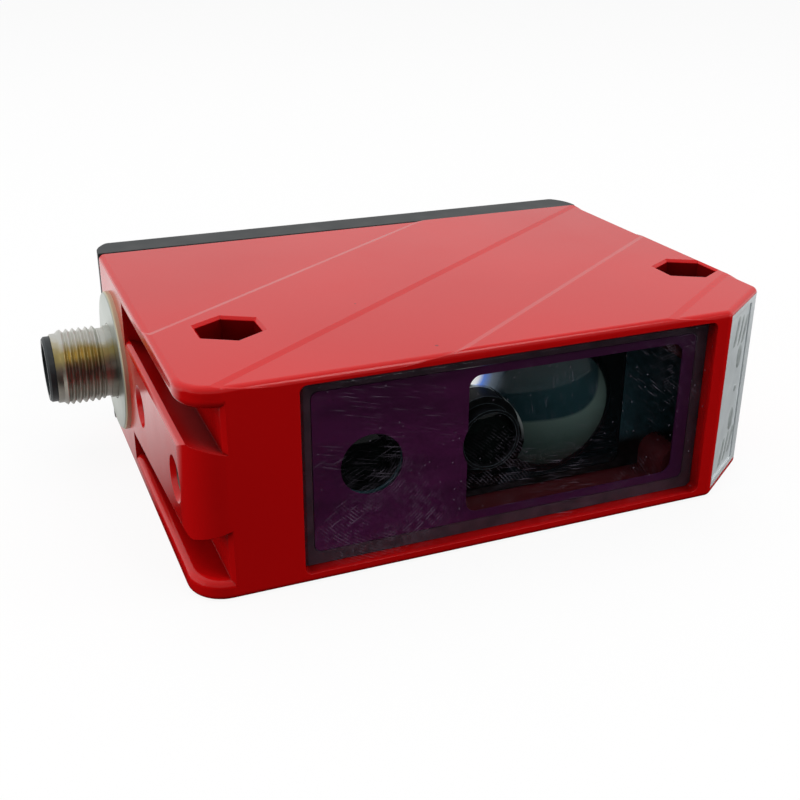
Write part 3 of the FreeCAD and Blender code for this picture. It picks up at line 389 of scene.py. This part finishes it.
dress(makeMattOptic("mattBlackPolycarbonate", optic["black"], roughness=0.6, shine=0.15, stepped=True),
      "near_range_barrel")
dress(makeMattOptic("mattBlackTube", optic["tube"], roughness=0.6, shine=0.1), "transmitter_barrel")
dress(makeMattOptic("greyCarrierPolycarbonate", optic["carrier"], roughness=0.3, sooty=True),
      "optics_carrier")
dress(makeMattOptic("greyContactPolyamide", optic["contact"], roughness=0.45), "connector_insert")
dress(makeMattOptic("mouldedChipResin", optic["chip"], roughness=0.5), "receiver_detector",
      "near_range_detector", "main_processor", "power_inductor")

# Acrylic moulded in a polished tool, drawn opaque with its look painted on: a painted blue-green depth above,
# lighter towards the top, a paler crescent of painted light below, painted shade in black beside and below
# the dome, and a painted glow, white turning blue, that gives off light where the flange's corner catches it.
# Places are x, z and a radius or two half widths.
acrylic = dict(
    upper=[(0.0, "#233F46"), (0.4, "#2F4C53"), (1.0, "#5E747A")], upperMm=(17.0, 25.0),
    lower=[(0.0, "#34423F"), (0.4, "#485B57"), (1.0, "#6C827C")], lowerMm=(7.0, 16.0),
    hollowMm=(7.5, 23.5, 10.4, 8.9), domeMm=(10.6, 15.4, 9.0), beside="#0E181C", besideMm=(4.0, 8.0),
    underMm=(9.5, 11.0), glow=[(0.2, "#FFFFFF"), (0.29, "#6E97F0"), (0.42, "#8C98A8")],
    cornerMm=(-3.4, 22.4, 10.5), wellMm=(-4.4, 11.2, 9.83), well=[(0.955, "#050708"), (0.972, "#DCE4E4")],
    wellDark="#050708", wellRimMm=(11.5, 16.0), roughness=0.06)


def makeClearAcrylic():
    material, tree, spot, output = newMaterial("clearMouldedAcrylic")

    def offFrom(x, z, wide, tall):  # one at the half widths
        off = addNode(tree, "VectorMath", {1: (x * mm, 0.0, z * mm)}, {0: spot}, operation="SUBTRACT")
        return addNode(tree, "VectorMath", {1: (1.0 / (wide * mm), 0.0, 1.0 / (tall * mm))},
                       {0: off.outputs[0]}, operation="MULTIPLY").outputs[0]

    def outFrom(x, z, radius):  # one at the radius
        off = offFrom(x, z, radius, radius)
        return addNode(tree, "VectorMath", links={0: off}, operation="LENGTH").outputs["Value"]

    across = offFrom(*acrylic["hollowMm"])  # a squarish oval: the fourth powers of both sides add to one
    square = addNode(tree, "VectorMath", links={0: across, 1: across}, operation="MULTIPLY")
    oval = addNode(tree, "VectorMath", links={0: square.outputs[0], 1: square.outputs[0]},
                   operation="DOT_PRODUCT")
    hollow = addNode(tree, "MapRange", {1: 0.9, 2: 1.12}, {0: oval.outputs["Value"]})
    place = addNode(tree, "SeparateXYZ", links={0: spot})
    high = addNode(tree, "MapRange", between(acrylic["upperMm"]), {0: place.outputs[2]})
    low = addNode(tree, "MapRange", between(acrylic["lowerMm"]), {0: place.outputs[2]})
    depth = addNode(tree, "ValToRGB", links={"Fac": high.outputs[0]}, stops=acrylic["upper"])
    crescent = addNode(tree, "ValToRGB", links={"Fac": low.outputs[0]}, stops=acrylic["lower"])
    gather = addNode(tree, "Mix", links={0: hollow.outputs[0], 6: depth.outputs[0], 7: crescent.outputs[0]},
                     data_type="RGBA")
    beyond = addNode(tree, "MapRange", {1: 0.985, 2: 1.015}, {0: outFrom(*acrylic["domeMm"])})
    right = addNode(tree, "MapRange", between(acrylic["besideMm"]), {0: place.outputs[0]})
    under = addNode(tree, "MapRange", {**between(acrylic["underMm"]), 3: 1.0, 4: 0.0}, {0: place.outputs[2]})
    dark = addNode(tree, "Math", links={0: right.outputs[0], 1: under.outputs[0]}, operation="MAXIMUM")
    rim = addNode(tree, "Math", links={0: beyond.outputs[0], 1: dark.outputs[0]}, operation="MULTIPLY")
    body = addNode(tree, "Mix", {7: hexToLinear(acrylic["beside"])},
                   {0: rim.outputs[0], 6: gather.outputs[2]}, data_type="RGBA")
    fade = outFrom(*acrylic["cornerMm"])
    glow = addNode(tree, "ValToRGB", links={"Fac": fade}, stops=acrylic["glow"])
    share = addNode(tree, "MapRange", {1: 0.3, 2: 0.68, 3: 1.0, 4: 0.0}, {0: fade})
    colour = addNode(tree, "Mix", links={0: share.outputs[0], 6: body.outputs[2], 7: glow.outputs[0]},
                     data_type="RGBA")
    out = outFrom(*acrylic["wellMm"])  # painted shade: a dark well beside the dome, with a painted highlight on its rim above
    well = addNode(tree, "ValToRGB", links={"Fac": out}, stops=acrylic["well"])
    above = addNode(tree, "MapRange", between(acrylic["wellRimMm"]), {0: place.outputs[2]})
    well = addNode(tree, "Mix", {6: hexToLinear(acrylic["wellDark"])},
                   {0: above.outputs[0], 7: well.outputs[0]}, data_type="RGBA")
    within = addNode(tree, "MapRange", {1: 0.994, 2: 1.004, 3: 1.0, 4: 0.0}, {0: out})
    colour = addNode(tree, "Mix", links={0: within.outputs[0], 6: colour.outputs[2], 7: well.outputs[2]},
                     data_type="RGBA")
    lit = addNode(tree, "MapRange", {1: 0.15, 2: 0.6, 3: 0.75, 4: 0.0}, {0: fade})
    outside = addNode(tree, "MapRange", {3: 1.0, 4: 0.0}, {0: within.outputs[0]})
    shine = addNode(tree, "Math", links={0: lit.outputs[0], 1: outside.outputs[0]}, operation="MULTIPLY")
    # painted glow: the corner gives off light of its own, though no lamp is there
    lens = addNode(tree, "BsdfPrincipled", {"IOR": 1.49, "Roughness": acrylic["roughness"]},
                   {"Base Color": colour.outputs[2], "Emission Color": glow.outputs[0],
                    "Emission Strength": shine.outputs[0]})
    tree.links.new(lens.outputs[0], output.inputs[0])
    return material


dress(makeClearAcrylic(), "receiver_lens")

# Small ground lenses with a coating: dark glass with a faint green bloom.
coated = dict(colour="#0A1210", deep="#040606", roughness=0.05, bloomMm=3)


def makeCoatedLens():
    material, tree, spot, output = newMaterial("coatedLensGlass")
    bloom = addNode(tree, "TexNoise", {"Scale": perMm(coated["bloomMm"]), "Detail": 1.0}, {"Vector": spot})
    colour = addNode(tree, "ValToRGB", links={"Fac": bloom.outputs["Fac"]},
                     stops=[(0.3, coated["deep"]), (0.7, coated["colour"])])
    body = addNode(tree, "BsdfPrincipled", {"IOR": 1.5, "Roughness": coated["roughness"]},
                   {"Base Color": colour.outputs[0]})
    tree.links.new(body.outputs[0], output.inputs[0])
    return material


dress(makeCoatedLens(), "near_range_lens", "transmitter_lens")
print("optics dressed")

# Translucent styrene moulded over the indicators: cool grey, milky, slightly uneven, with a faint painted
# glow: it gives off a little light of its own.
strip = dict(colour="#CBD2D4", pale="#DEE4E6", roughness=0.2, glow=0.1, cloudMm=3.5, edgeMm=0.2)


def makeMilkyStrip():
    material, tree, spot, output = newMaterial("milkyGreyStyrene")
    cloud = addNode(tree, "TexNoise", {"Scale": perMm(strip["cloudMm"]), "Detail": 4.0, "Roughness": 0.6},
                    {"Vector": spot})
    colour = addNode(tree, "ValToRGB", links={"Fac": cloud.outputs["Fac"]},
                     stops=[(0.3, strip["colour"]), (0.7, strip["pale"])])
    edge = addNode(tree, "Bevel", {"Radius": strip["edgeMm"] * mm}, samples=4)
    # painted glow: a small emission lightens the whole strip
    body = addNode(tree, "BsdfPrincipled",
                   {"IOR": 1.59, "Roughness": strip["roughness"],
                    "Emission Color": hexToLinear(strip["pale"]), "Emission Strength": strip["glow"]},
                   {"Base Color": colour.outputs[0], "Normal": edge.outputs[0]})
    tree.links.new(body.outputs[0], output.inputs[0])
    return material


dress(makeMilkyStrip(), "indicator_window")

# Brass turned on a lathe and nickel plated: silver grey with fine rings left by the tool, with painted
# reflections
# in bands by height: golden along the flank and brown below it, and on the faced disc a paler top. Bands are
# heights as a share of bandsMm.
plugAxisMm = (0.0, 16.6, 15.0)  # the plug's axis runs along x through this point
nickel = dict(
    bands=[(0.2, "#96928A"), (0.45, "#C8C2B4"), (0.62, "#94877A"), (0.76, "#CBB87A"), (0.84, "#CBB87A"),
           (0.93, "#E2E2DB")], bandsMm=(9.0, 21.0), driftMm=0.6, cloudMm=4,
    faced=[(0.2, "#B4B9B0"), (0.8, "#C6CCC5")], rim="#CFC6A6", rimMm=(10.95, 11.1), rimMetal=0.4,
    roughness=0.3, cloudy=0.12, ringMm=0.16, ringDepthMm=0.02)


def makeTurnedNickel(name, stops, worn=False):
    material, tree, spot, output = newMaterial(name)
    cloud = addNode(tree, "TexNoise", {"Scale": perMm(nickel["cloudMm"]), "Detail": 3.0}, {"Vector": spot})
    place = addNode(tree, "SeparateXYZ", links={0: spot})
    sway = nickel["driftMm"] * mm
    drift = addNode(tree, "MapRange", {1: 0.3, 2: 0.7, 3: -sway, 4: sway}, {0: cloud.outputs["Fac"]})
    height = addNode(tree, "Math", links={0: place.outputs[2], 1: drift.outputs[0]}, operation="ADD")
    # painted reflections: the colour follows height, not the metal
    level = addNode(tree, "MapRange", between(nickel["bandsMm"]), {0: height.outputs[0]})
    colour = addNode(tree, "ValToRGB", links={"Fac": level.outputs[0]}, stops=stops).outputs[0]
    centre = addNode(tree, "Mapping", {"Location": tuple(-v * mm for v in plugAxisMm)}, {"Vector": spot})
    rings = addNode(tree, "TexWave",
                    {"Scale": bandsPerMm(nickel["ringMm"]), "Distortion": 0.6, "Detail": 2.0},
                    {"Vector": centre.outputs[0]}, wave_type="RINGS", rings_direction="X")
    skin = addNode(tree, "Bump", {"Strength": 0.06, "Distance": nickel["ringDepthMm"] * mm},
                   {"Height": rings.outputs["Fac"]})
    least = nickel["roughness"]
    matt = addNode(tree, "MapRange", {1: 0.3, 2: 0.7, 3: least, 4: least + nickel["cloudy"]},
                   {0: cloud.outputs["Fac"]})
    body = addNode(tree, "BsdfPrincipled", {"Metallic": 1.0},
                   {"Roughness": matt.outputs[0], "Normal": skin.outputs[0]})
    if worn:  # the rim is rubbed down to dull brass
        flat = addNode(tree, "VectorMath", {1: (0.0, 1.0, 1.0)}, {0: centre.outputs[0]}, operation="MULTIPLY")
        out = addNode(tree, "VectorMath", links={0: flat.outputs[0]}, operation="LENGTH")
        rim = addNode(tree, "MapRange", between(nickel["rimMm"]), {0: out.outputs["Value"]})
        colour = addNode(tree, "Mix", {7: hexToLinear(nickel["rim"])}, {0: rim.outputs[0], 6: colour},
                         data_type="RGBA").outputs[2]
        dull = addNode(tree, "MapRange", {3: 1.0, 4: nickel["rimMetal"]}, {0: rim.outputs[0]})
        tree.links.new(dull.outputs[0], body.inputs["Metallic"])
    tree.links.new(colour, body.inputs["Base Color"])
    tree.links.new(body.outputs[0], output.inputs[0])
    return material


turnedNickel = makeTurnedNickel("turnedNickelPlate", nickel["bands"])
dress(turnedNickel, "connector_nut", "connector_shell")
dress(makeTurnedNickel("facedNickelPlate", nickel["faced"], worn=True), "connector_disc")

# Drawn, plated or stamped metal of the small pieces: even colour, soft brushed gloss. Each row is a colour,
# a paler one, roughness and the pieces.
metals = dict(
    zincPlatedSteel=("#8E908E", "#B0B2AF", 0.35, ["rear_cover_screws", "carrier_screws",
                                                  "main_board_screws"]),
    goldPlatedContact=("#C89A45", "#E0BC6A", 0.25, ["contact_pins"]),
    drawnAluminiumCan=("#9DA0A3", "#BCC0C2", 0.3, ["laser_diode", "buffer_capacitors"]))
brushMm = (0.3, 3, 0.3)


def makePlainMetal(name, colour, pale, roughness):
    material, tree, spot, output = newMaterial(name)
    lay = addNode(tree, "Mapping", {"Scale": tuple(perMm(size) for size in brushMm)}, {"Vector": spot})
    brush = addNode(tree, "TexNoise", {"Scale": 1.0, "Detail": 2.0}, {"Vector": lay.outputs[0]})
    tint = addNode(tree, "ValToRGB", links={"Fac": brush.outputs["Fac"]},
                   stops=[(0.35, colour), (0.65, pale)])
    body = addNode(tree, "BsdfPrincipled", {"Metallic": 1.0, "Roughness": roughness},
                   {"Base Color": tint.outputs[0]})
    tree.links.new(body.outputs[0], output.inputs[0])
    return material


for name, (colour, pale, roughness, pieces) in metals.items():
    dress(makePlainMetal(name, colour, pale, roughness), *pieces)

# Glass-fibre board under green solder mask, amber polyimide ribbon, pale lamp resin: flat laminates with a
# weave. Rows are as for the metals.
laminates = dict(
    greenSolderMask=("#0B3B1E", "#124A28", 0.35, ["laser_board", "receiver_board", "main_board",
                                                  "indicator_board", "connector_board"]),
    amberPolyimide=("#8A4A14", "#A25C1E", 0.3, ["laser_flex", "receiver_flex", "connector_flex"]),
    paleLampResin=("#D8D8C8", "#ECECE0", 0.3, ["indicator_leds"]))
weave = dict(threadMm=0.5, cloudMm=3, depthMm=0.02)


def makeLaminate(name, colour, pale, roughness):
    material, tree, spot, output = newMaterial(name)
    threads = addNode(tree, "TexChecker", {"Scale": perMm(weave["threadMm"])}, {"Vector": spot})
    cloud = addNode(tree, "TexNoise", {"Scale": perMm(weave["cloudMm"]), "Detail": 2.0}, {"Vector": spot})
    tint = addNode(tree, "ValToRGB", links={"Fac": cloud.outputs["Fac"]},
                   stops=[(0.35, colour), (0.65, pale)])
    skin = addNode(tree, "Bump", {"Strength": 0.1, "Distance": weave["depthMm"] * mm},
                   {"Height": threads.outputs["Fac"]})
    body = addNode(tree, "BsdfPrincipled", {"Roughness": roughness},
                   {"Base Color": tint.outputs[0], "Normal": skin.outputs[0]})
    tree.links.new(body.outputs[0], output.inputs[0])
    return material


for name, (colour, pale, roughness, pieces) in laminates.items():
    dress(makeLaminate(name, colour, pale, roughness), *pieces)
print("materials on every node")


# Mesh object from points and four-sided faces, turned outwards by the sign of the enclosed volume.
def meshFrom(name, points, faces, material, sharpDegrees):
    a, b, c, d = (points[faces[:, i]] for i in range(4))
    volume = np.einsum("ij,ij->", a, np.cross(b, c)) + np.einsum("ij,ij->", a, np.cross(c, d))
    if volume < 0:
        faces = faces[:, ::-1]
    mesh = bpy.data.meshes.new(name)
    mesh.from_pydata(points.tolist(), [], faces.tolist())
    mesh.polygons.foreach_set("use_smooth", np.ones(len(faces), bool))
    mesh.set_sharp_from_angle(angle=math.radians(sharpDegrees))
    mesh.materials.append(material)
    mesh.update()
    piece = bpy.data.objects.new(name, mesh)
    bpy.context.scene.collection.objects.link(piece)
    return piece


# Mesh object from a grid of points that closes on itself both ways: rows follow the profile, and columns
# go round.
def closedGrid(name, points, material, sharpDegrees):
    rows, columns = points.shape[:2]
    index = np.arange(rows * columns).reshape(rows, columns)
    right = np.roll(index, -1, axis=1)
    corners = [index, np.roll(index, -1, axis=0), np.roll(right, -1, axis=0), right]
    faces = np.stack(corners, axis=-1).reshape(-1, 4)
    return meshFrom(name, points.reshape(-1, 3), faces, material, sharpDegrees)


# M12 plug sleeve. Its profile, in pairs of distance from the end of the case and radius, runs along the
# outside from the tail to the tip and back through the bore, and is carried round the axis. On the thread the
# radius drops by a triangle wave of x / pitch + angle / turn, with its crests and roots cut flat.
plug = dict(
    endMm=-45.0, collar=[(6.6, 6.0), (-0.9, 6.0), (-0.9, 5.8), (-1.8, 5.8), (-1.8, 5.5), (-2.6, 5.5)],
    threadMm=(-2.6, -8.6), threadRadius=6.0, tip=[(-9.1, 5.5), (-9.85, 5.5), (-10.0, 5.4)],
    bore=[(-10.0, 5.25), (2.0, 5.25), (2.0, 5.65), (6.6, 5.65)], pitch=1.0, depth=0.5, steep=1.25,
    crest=0.12, leadMm=0.4, runOutMm=0.5, leftAtEnd=0.25, around=120, perPitch=18, sharpDegrees=40.0)


def makePlugSleeve():
    collar, tip, bore = (np.array(plug[part]) + [plug["endMm"], 0.0] for part in ("collar", "tip", "bore"))
    start, end = (plug["endMm"] + x for x in plug["threadMm"])
    count = int(round((start - end) / plug["pitch"] * plug["perPitch"]))
    thread = np.column_stack([np.linspace(start, end, count), np.full(count, plug["threadRadius"])])
    profile = np.concatenate([collar, thread, tip, bore])
    x, r = profile[:, :1], profile[:, 1:]
    onThread = np.zeros_like(x)
    onThread[len(collar):len(collar) + count] = 1.0
    angle = np.linspace(0.0, 2.0 * np.pi, plug["around"], endpoint=False)[None, :]
    phase = (x - start) / plug["pitch"] + angle / (2.0 * np.pi)
    groove = np.abs(2.0 * (phase - np.floor(phase)) - 1.0)
    groove = np.clip(groove * plug["steep"] - plug["crest"], 0.0, 1.0)  # flat crests and roots
    rise = np.clip((start - x) / plug["leadMm"], 0.0, 1.0)  # from the neck up to the full thread
    runOut = rise * np.clip((x - end) / plug["runOutMm"] + plug["leftAtEnd"], 0.0, 1.0)
    depth = plug["depth"] * groove * runOut + (1.0 - rise) * plug["depth"]
    r = r - depth * onThread
    y = plugAxisMm[1] + r * np.cos(angle)
    z = plugAxisMm[2] + r * np.sin(angle)
    points = np.stack([x + 0.0 * angle, y, z], axis=-1) * mm
    return closedGrid("plugSleeve", points, turnedNickel, plug["sharpDegrees"])


plugSleeve = makePlugSleeve()
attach(plugSleeve, "root")
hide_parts("connector_shell")
print("plug thread cut")

# Tapped holes in the rib, given by y and z: a thin lining inside each core hole, bare zinc with red paint run
# into it. Its inner radius drops by a triangle wave of x / pitch - angle / turn that fades out at the mouth.
tapped = dict(
    holesMm=[(-27.4, 15.0), (-3.3, 15.0)], radius=2.49, depth=0.36, wall=0.02, pitch=1.0, fadeMm=0.5,
    mouthMm=-44.3, lengthMm=8.0, around=48, perPitch=12, sharpDegrees=35.0, paint="#8E1410", zinc="#9A8C82",
    cloudMm=1.1, roughness=0.35)


def makeBareZinc():
    material, tree, spot, output = newMaterial("tappedZincWithPaint")
    cloud = addNode(tree, "TexNoise", {"Scale": perMm(tapped["cloudMm"]), "Detail": 3.0}, {"Vector": spot})
    tint = addNode(tree, "ValToRGB", links={"Fac": cloud.outputs["Fac"]},
                   stops=[(0.4, tapped["paint"]), (0.62, tapped["zinc"])])
    metal = addNode(tree, "MapRange", {1: 0.5, 2: 0.62, 3: 0.0, 4: 1.0}, {0: cloud.outputs["Fac"]})
    body = addNode(tree, "BsdfPrincipled", {"Roughness": tapped["roughness"]},
                   {"Base Color": tint.outputs[0], "Metallic": metal.outputs[0]})
    tree.links.new(body.outputs[0], output.inputs[0])
    return material


def makeTappedLining(name, y, z, material):
    rows = int(tapped["lengthMm"] / tapped["pitch"] * tapped["perPitch"])
    x = np.linspace(0.0, tapped["lengthMm"], rows)[:, None]
    angle = np.linspace(0.0, 2.0 * np.pi, tapped["around"], endpoint=False)[None, :]
    phase = x / tapped["pitch"] - angle / (2.0 * np.pi)
    ridge = np.abs(2.0 * (phase - np.floor(phase)) - 1.0)
    fade = np.clip(x / tapped["fadeMm"], 0.0, 1.0)
    inner = tapped["radius"] - tapped["depth"] * ridge * fade - tapped["wall"]
    outer = np.full_like(inner, tapped["radius"])
    r = np.concatenate([inner, outer])
    along = np.concatenate([x, x[::-1]]) + tapped["mouthMm"]
    points = np.stack([along + 0.0 * angle, y + r * np.cos(angle), z + r * np.sin(angle)], axis=-1) * mm
    lining = closedGrid(name, points, material, tapped["sharpDegrees"])
    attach(lining, "root")


bareZinc = makeBareZinc()
for number, (y, z) in enumerate(tapped["holesMm"]):
    makeTappedLining("tappedHole%d" % number, y, z, bareZinc)
print("rib holes tapped")

# Light guides that show on the indicator strip: two ribbed blocks, two oval lamps and a dot, each given by
# its place along the cut corner, its height and two half sizes. Each is a shallow pillow on the strip's
# recessed panel: the rise, times one minus the sixth power of each of the two parameters.
marks = dict(
    startMm=(34.0, -35.0), runMm=(11.0, 8.0), panelMm=0.3, rise=0.12, sink=0.1, slant=0.8, power=6, steps=15,
    sharpDegrees=50.0, colour="#AEB6B6", pale="#C2C9C8", roughness=0.25, cloudMm=1.0,
    ovals=[(8.4, 20.2, 1.1, 1.9), (8.4, 9.8, 1.1, 1.9), (8.4, 15.0, 0.5, 0.55)],
    ribs=[(5.4, 25.0, 0.5, 2.2), (7.6, 24.6, 0.35, 2.2), (9.8, 24.2, 0.5, 2.0),
          (5.4, 5.0, 0.5, 2.2), (7.6, 5.4, 0.35, 2.2), (9.8, 5.8, 0.5, 2.0)])


# From distance along the cut corner, depth behind its face and height to a place in space.
def cornerToSpace(s, d, z):
    run = math.hypot(*marks["runMm"])
    alongX, alongY = (part / run for part in marks["runMm"])
    startX, startY = marks["startMm"]
    return np.stack([startX + s * alongX - d * alongY, startY + s * alongY + d * alongX, z], axis=-1) * mm


# Smoked acrylic, moulded: even mid grey with a soft gloss.
def makeLightGuide():
    material, tree, spot, output = newMaterial("smokedLightGuide")
    cloud = addNode(tree, "TexNoise", {"Scale": perMm(marks["cloudMm"]), "Detail": 2.0}, {"Vector": spot})
    tint = addNode(tree, "ValToRGB", links={"Fac": cloud.outputs["Fac"]},
                   stops=[(0.3, marks["colour"]), (0.7, marks["pale"])])
    body = addNode(tree, "BsdfPrincipled", {"IOR": 1.55, "Roughness": marks["roughness"]},
                   {"Base Color": tint.outputs[0]})
    tree.links.new(body.outputs[0], output.inputs[0])
    return material


def makeIndicatorMark(name, place, oval, material):
    s, z, halfS, halfZ = place
    side = marks["steps"]
    u, w = np.meshgrid(np.linspace(-1.0, 1.0, side), np.linspace(-1.0, 1.0, side), indexing="ij")
    power = marks["power"]
    height = marks["rise"] * np.clip((1.0 - np.abs(u) ** power) * (1.0 - np.abs(w) ** power), 0.0, 1.0)
    slant = marks["slant"]
    if oval:  # upright, with the square grid squeezed into a disc
        slant = 0.0
        u, w = u * np.sqrt(1.0 - w * w / 2.0), w * np.sqrt(1.0 - u * u / 2.0)
    along = s + u * halfS + w * slant
    top = cornerToSpace(along, marks["panelMm"] - height, z + w * halfZ)
    low = cornerToSpace(along, np.full_like(height, marks["panelMm"] + marks["sink"]), z + w * halfZ)
    points = np.concatenate([top.reshape(-1, 3), low.reshape(-1, 3)])
    index = np.arange(side * side).reshape(side, side)
    corners = [index[:-1, :-1], index[1:, :-1], index[1:, 1:], index[:-1, 1:]]
    quads = np.stack(corners, axis=-1).reshape(-1, 4)
    ring = np.concatenate([index[0], index[1:, -1], index[-1, -2::-1], index[-2:0:-1, 0]])
    following = np.roll(ring, -1)
    under = side * side
    wall = np.stack([ring, following, following + under, ring + under], axis=-1)
    faces = np.concatenate([quads, quads[:, ::-1] + under, wall])
    mark = meshFrom(name, points, faces, material, marks["sharpDegrees"])
    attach(mark, "root")


lightGuide = makeLightGuide()
for number, place in enumerate(marks["ovals"]):
    makeIndicatorMark("indicatorLamp%d" % number, place, True, lightGuide)
for number, place in enumerate(marks["ribs"]):
    makeIndicatorMark("indicatorRib%d" % number, place, False, lightGuide)
print("indicator marks in place")

# Studio: a pale floor that the camera and mirrors see as white behind the object, and dark in front, where
# the window and the front face mirror it, with soft light from above, the front, the left and the right.
# A box is its name, place, size, power and whether polished metal and the dome show it.
studio = dict(
    floor="#E6E6E6", front="#161616", floorMm=(-8.0, 45.0), white=0.9, half=3.0, drop=0.00002,
    skyFront=0.28, skyBack=0.68, skyTop=0.4, skyTurn=(-0.5, 0.35), skyRise=(0.1, 0.9),
    boxes=[("softBoxAbove", (-0.08, 0.12, 0.62), 0.7, 1.45, False),
           ("softBoxFront", (0.30, -0.47, 0.64), 0.34, 1.0, True),
           ("softBoxLeft", (-0.6, -0.05, 0.14), 0.4, 1.5, False),
           ("softBoxRight", (0.55, -0.22, 0.15), 0.3, 1.4, False)])


def makeFloor():
    half = studio["half"]
    mesh = bpy.data.meshes.new("floor")
    corners = np.array([[-half, -half, 0.0], [half, -half, 0.0], [half, half, 0.0], [-half, half, 0.0]])
    mesh.from_pydata((corners - [0.0, 0.0, studio["drop"]]).tolist(), [], [(0, 1, 2, 3)])
    floor = bpy.data.objects.new("floor", mesh)
    bpy.context.scene.collection.objects.link(floor)
    material, tree, spot, output = newMaterial("paleFloor")
    path = addNode(tree, "LightPath")
    depth = addNode(tree, "SeparateXYZ", links={0: spot})
    back = addNode(tree, "MapRange", between(studio["floorMm"]), {0: depth.outputs[1]})
    tone = addNode(tree, "ValToRGB", links={"Fac": back.outputs[0]},
                   stops=[(0.0, studio["front"]), (1.0, studio["floor"])])
    colour = addNode(tree, "Mix", {7: (1.0, 1.0, 1.0, 1.0)},
                     {0: path.outputs["Is Camera Ray"], 6: tone.outputs[0]}, data_type="RGBA")
    sheet = addNode(tree, "BsdfDiffuse", links={"Color": colour.outputs[2]})
    white = addNode(tree, "Emission", {"Strength": 1.0})
    shine = addNode(tree, "Math",
                    links={0: path.outputs["Is Glossy Ray"], 1: path.outputs["Is Transmission Ray"]},
                    operation="MAXIMUM")
    shine = addNode(tree, "Math", links={0: shine.outputs[0], 1: back.outputs[0]}, operation="MULTIPLY")
    seen = addNode(tree, "Math", {1: studio["white"]}, {0: path.outputs["Is Camera Ray"]},
                   operation="MULTIPLY")
    share = addNode(tree, "Math", links={0: shine.outputs[0], 1: seen.outputs[0]}, operation="MAXIMUM")
    whole = addNode(tree, "MixShader", links={0: share.outputs[0], 1: sheet.outputs[0], 2: white.outputs[0]})
    tree.links.new(whole.outputs[0], output.inputs[0])
    mesh.materials.append(material)


def makeWorld():
    world = bpy.data.worlds.new("studioWorld")
    bpy.context.scene.world = world
    world.use_nodes = True
    tree = world.node_tree
    tree.nodes.clear()
    way = addNode(tree, "SeparateXYZ", links={0: addNode(tree, "TexCoord").outputs["Generated"]})
    low, high = studio["skyTurn"]
    back = addNode(tree, "MapRange", {1: low, 2: high, 3: studio["skyFront"], 4: studio["skyBack"]},
                   {0: way.outputs[1]})
    low, high = studio["skyRise"]
    above = addNode(tree, "MapRange", {1: low, 2: high, 3: 0.0, 4: studio["skyTop"]}, {0: way.outputs[2]})
    level = addNode(tree, "Math", links={0: back.outputs[0], 1: above.outputs[0]}, operation="MAXIMUM")
    path = addNode(tree, "LightPath")
    seen = addNode(tree, "Math", links={0: level.outputs[0], 1: path.outputs["Is Camera Ray"]},
                   operation="MAXIMUM")
    sky = addNode(tree, "Background", {"Color": (1.0, 1.0, 1.0, 1.0)}, {"Strength": seen.outputs[0]})
    output = addNode(tree, "OutputWorld")
    tree.links.new(sky.outputs[0], output.inputs[0])


def addSoftBox(name, place, size, power, mirrored):
    lamp = bpy.data.lights.new(name, "AREA")
    lamp.shape = "SQUARE"
    lamp.size = size
    lamp.energy = power
    box = bpy.data.objects.new(name, lamp)
    box.location = place
    box.rotation_mode = "QUATERNION"
    box.rotation_quaternion = (-Vector(place)).to_track_quat("-Z", "Y")
    box.visible_glossy = mirrored
    bpy.context.scene.collection.objects.link(box)


makeFloor()
makeWorld()
for box in studio["boxes"]:
    addSoftBox(*box)

# Camera solved from the straight edges of the case. Angles are in degrees.
shot = dict(placeMm=(-66.745, -154.675, 82.064), azimuth=-22.566, elevation=23.929, roll=0.293,
            focalPx=1111.149, imagePx=800, sensorMm=36.0, clipStart=0.005)


def makeCamera():
    turn = math.radians(shot["azimuth"])
    tilt = math.radians(shot["elevation"])
    roll = math.radians(shot["roll"])
    back = np.array([math.sin(turn) * math.cos(tilt), -math.cos(turn) * math.cos(tilt), math.sin(tilt)])
    level = np.array([math.cos(turn), math.sin(turn), 0.0])
    upright = np.cross(back, level)
    pose = np.eye(4)
    pose[:3, 0] = level * math.cos(roll) + upright * math.sin(roll)
    pose[:3, 1] = upright * math.cos(roll) - level * math.sin(roll)
    pose[:3, 2] = back
    pose[:3, 3] = np.array(shot["placeMm"]) * mm
    lens = bpy.data.cameras.new("camera")
    lens.sensor_width = shot["sensorMm"]
    lens.lens = shot["focalPx"] / shot["imagePx"] * lens.sensor_width
    lens.clip_start = shot["clipStart"]
    camera = bpy.data.objects.new("camera", lens)
    camera.matrix_world = Matrix(pose.tolist())
    bpy.context.scene.collection.objects.link(camera)
    bpy.context.scene.camera = camera


makeCamera()
bpy.context.scene.view_settings.view_transform = "Standard"
print("studio and camera ready")
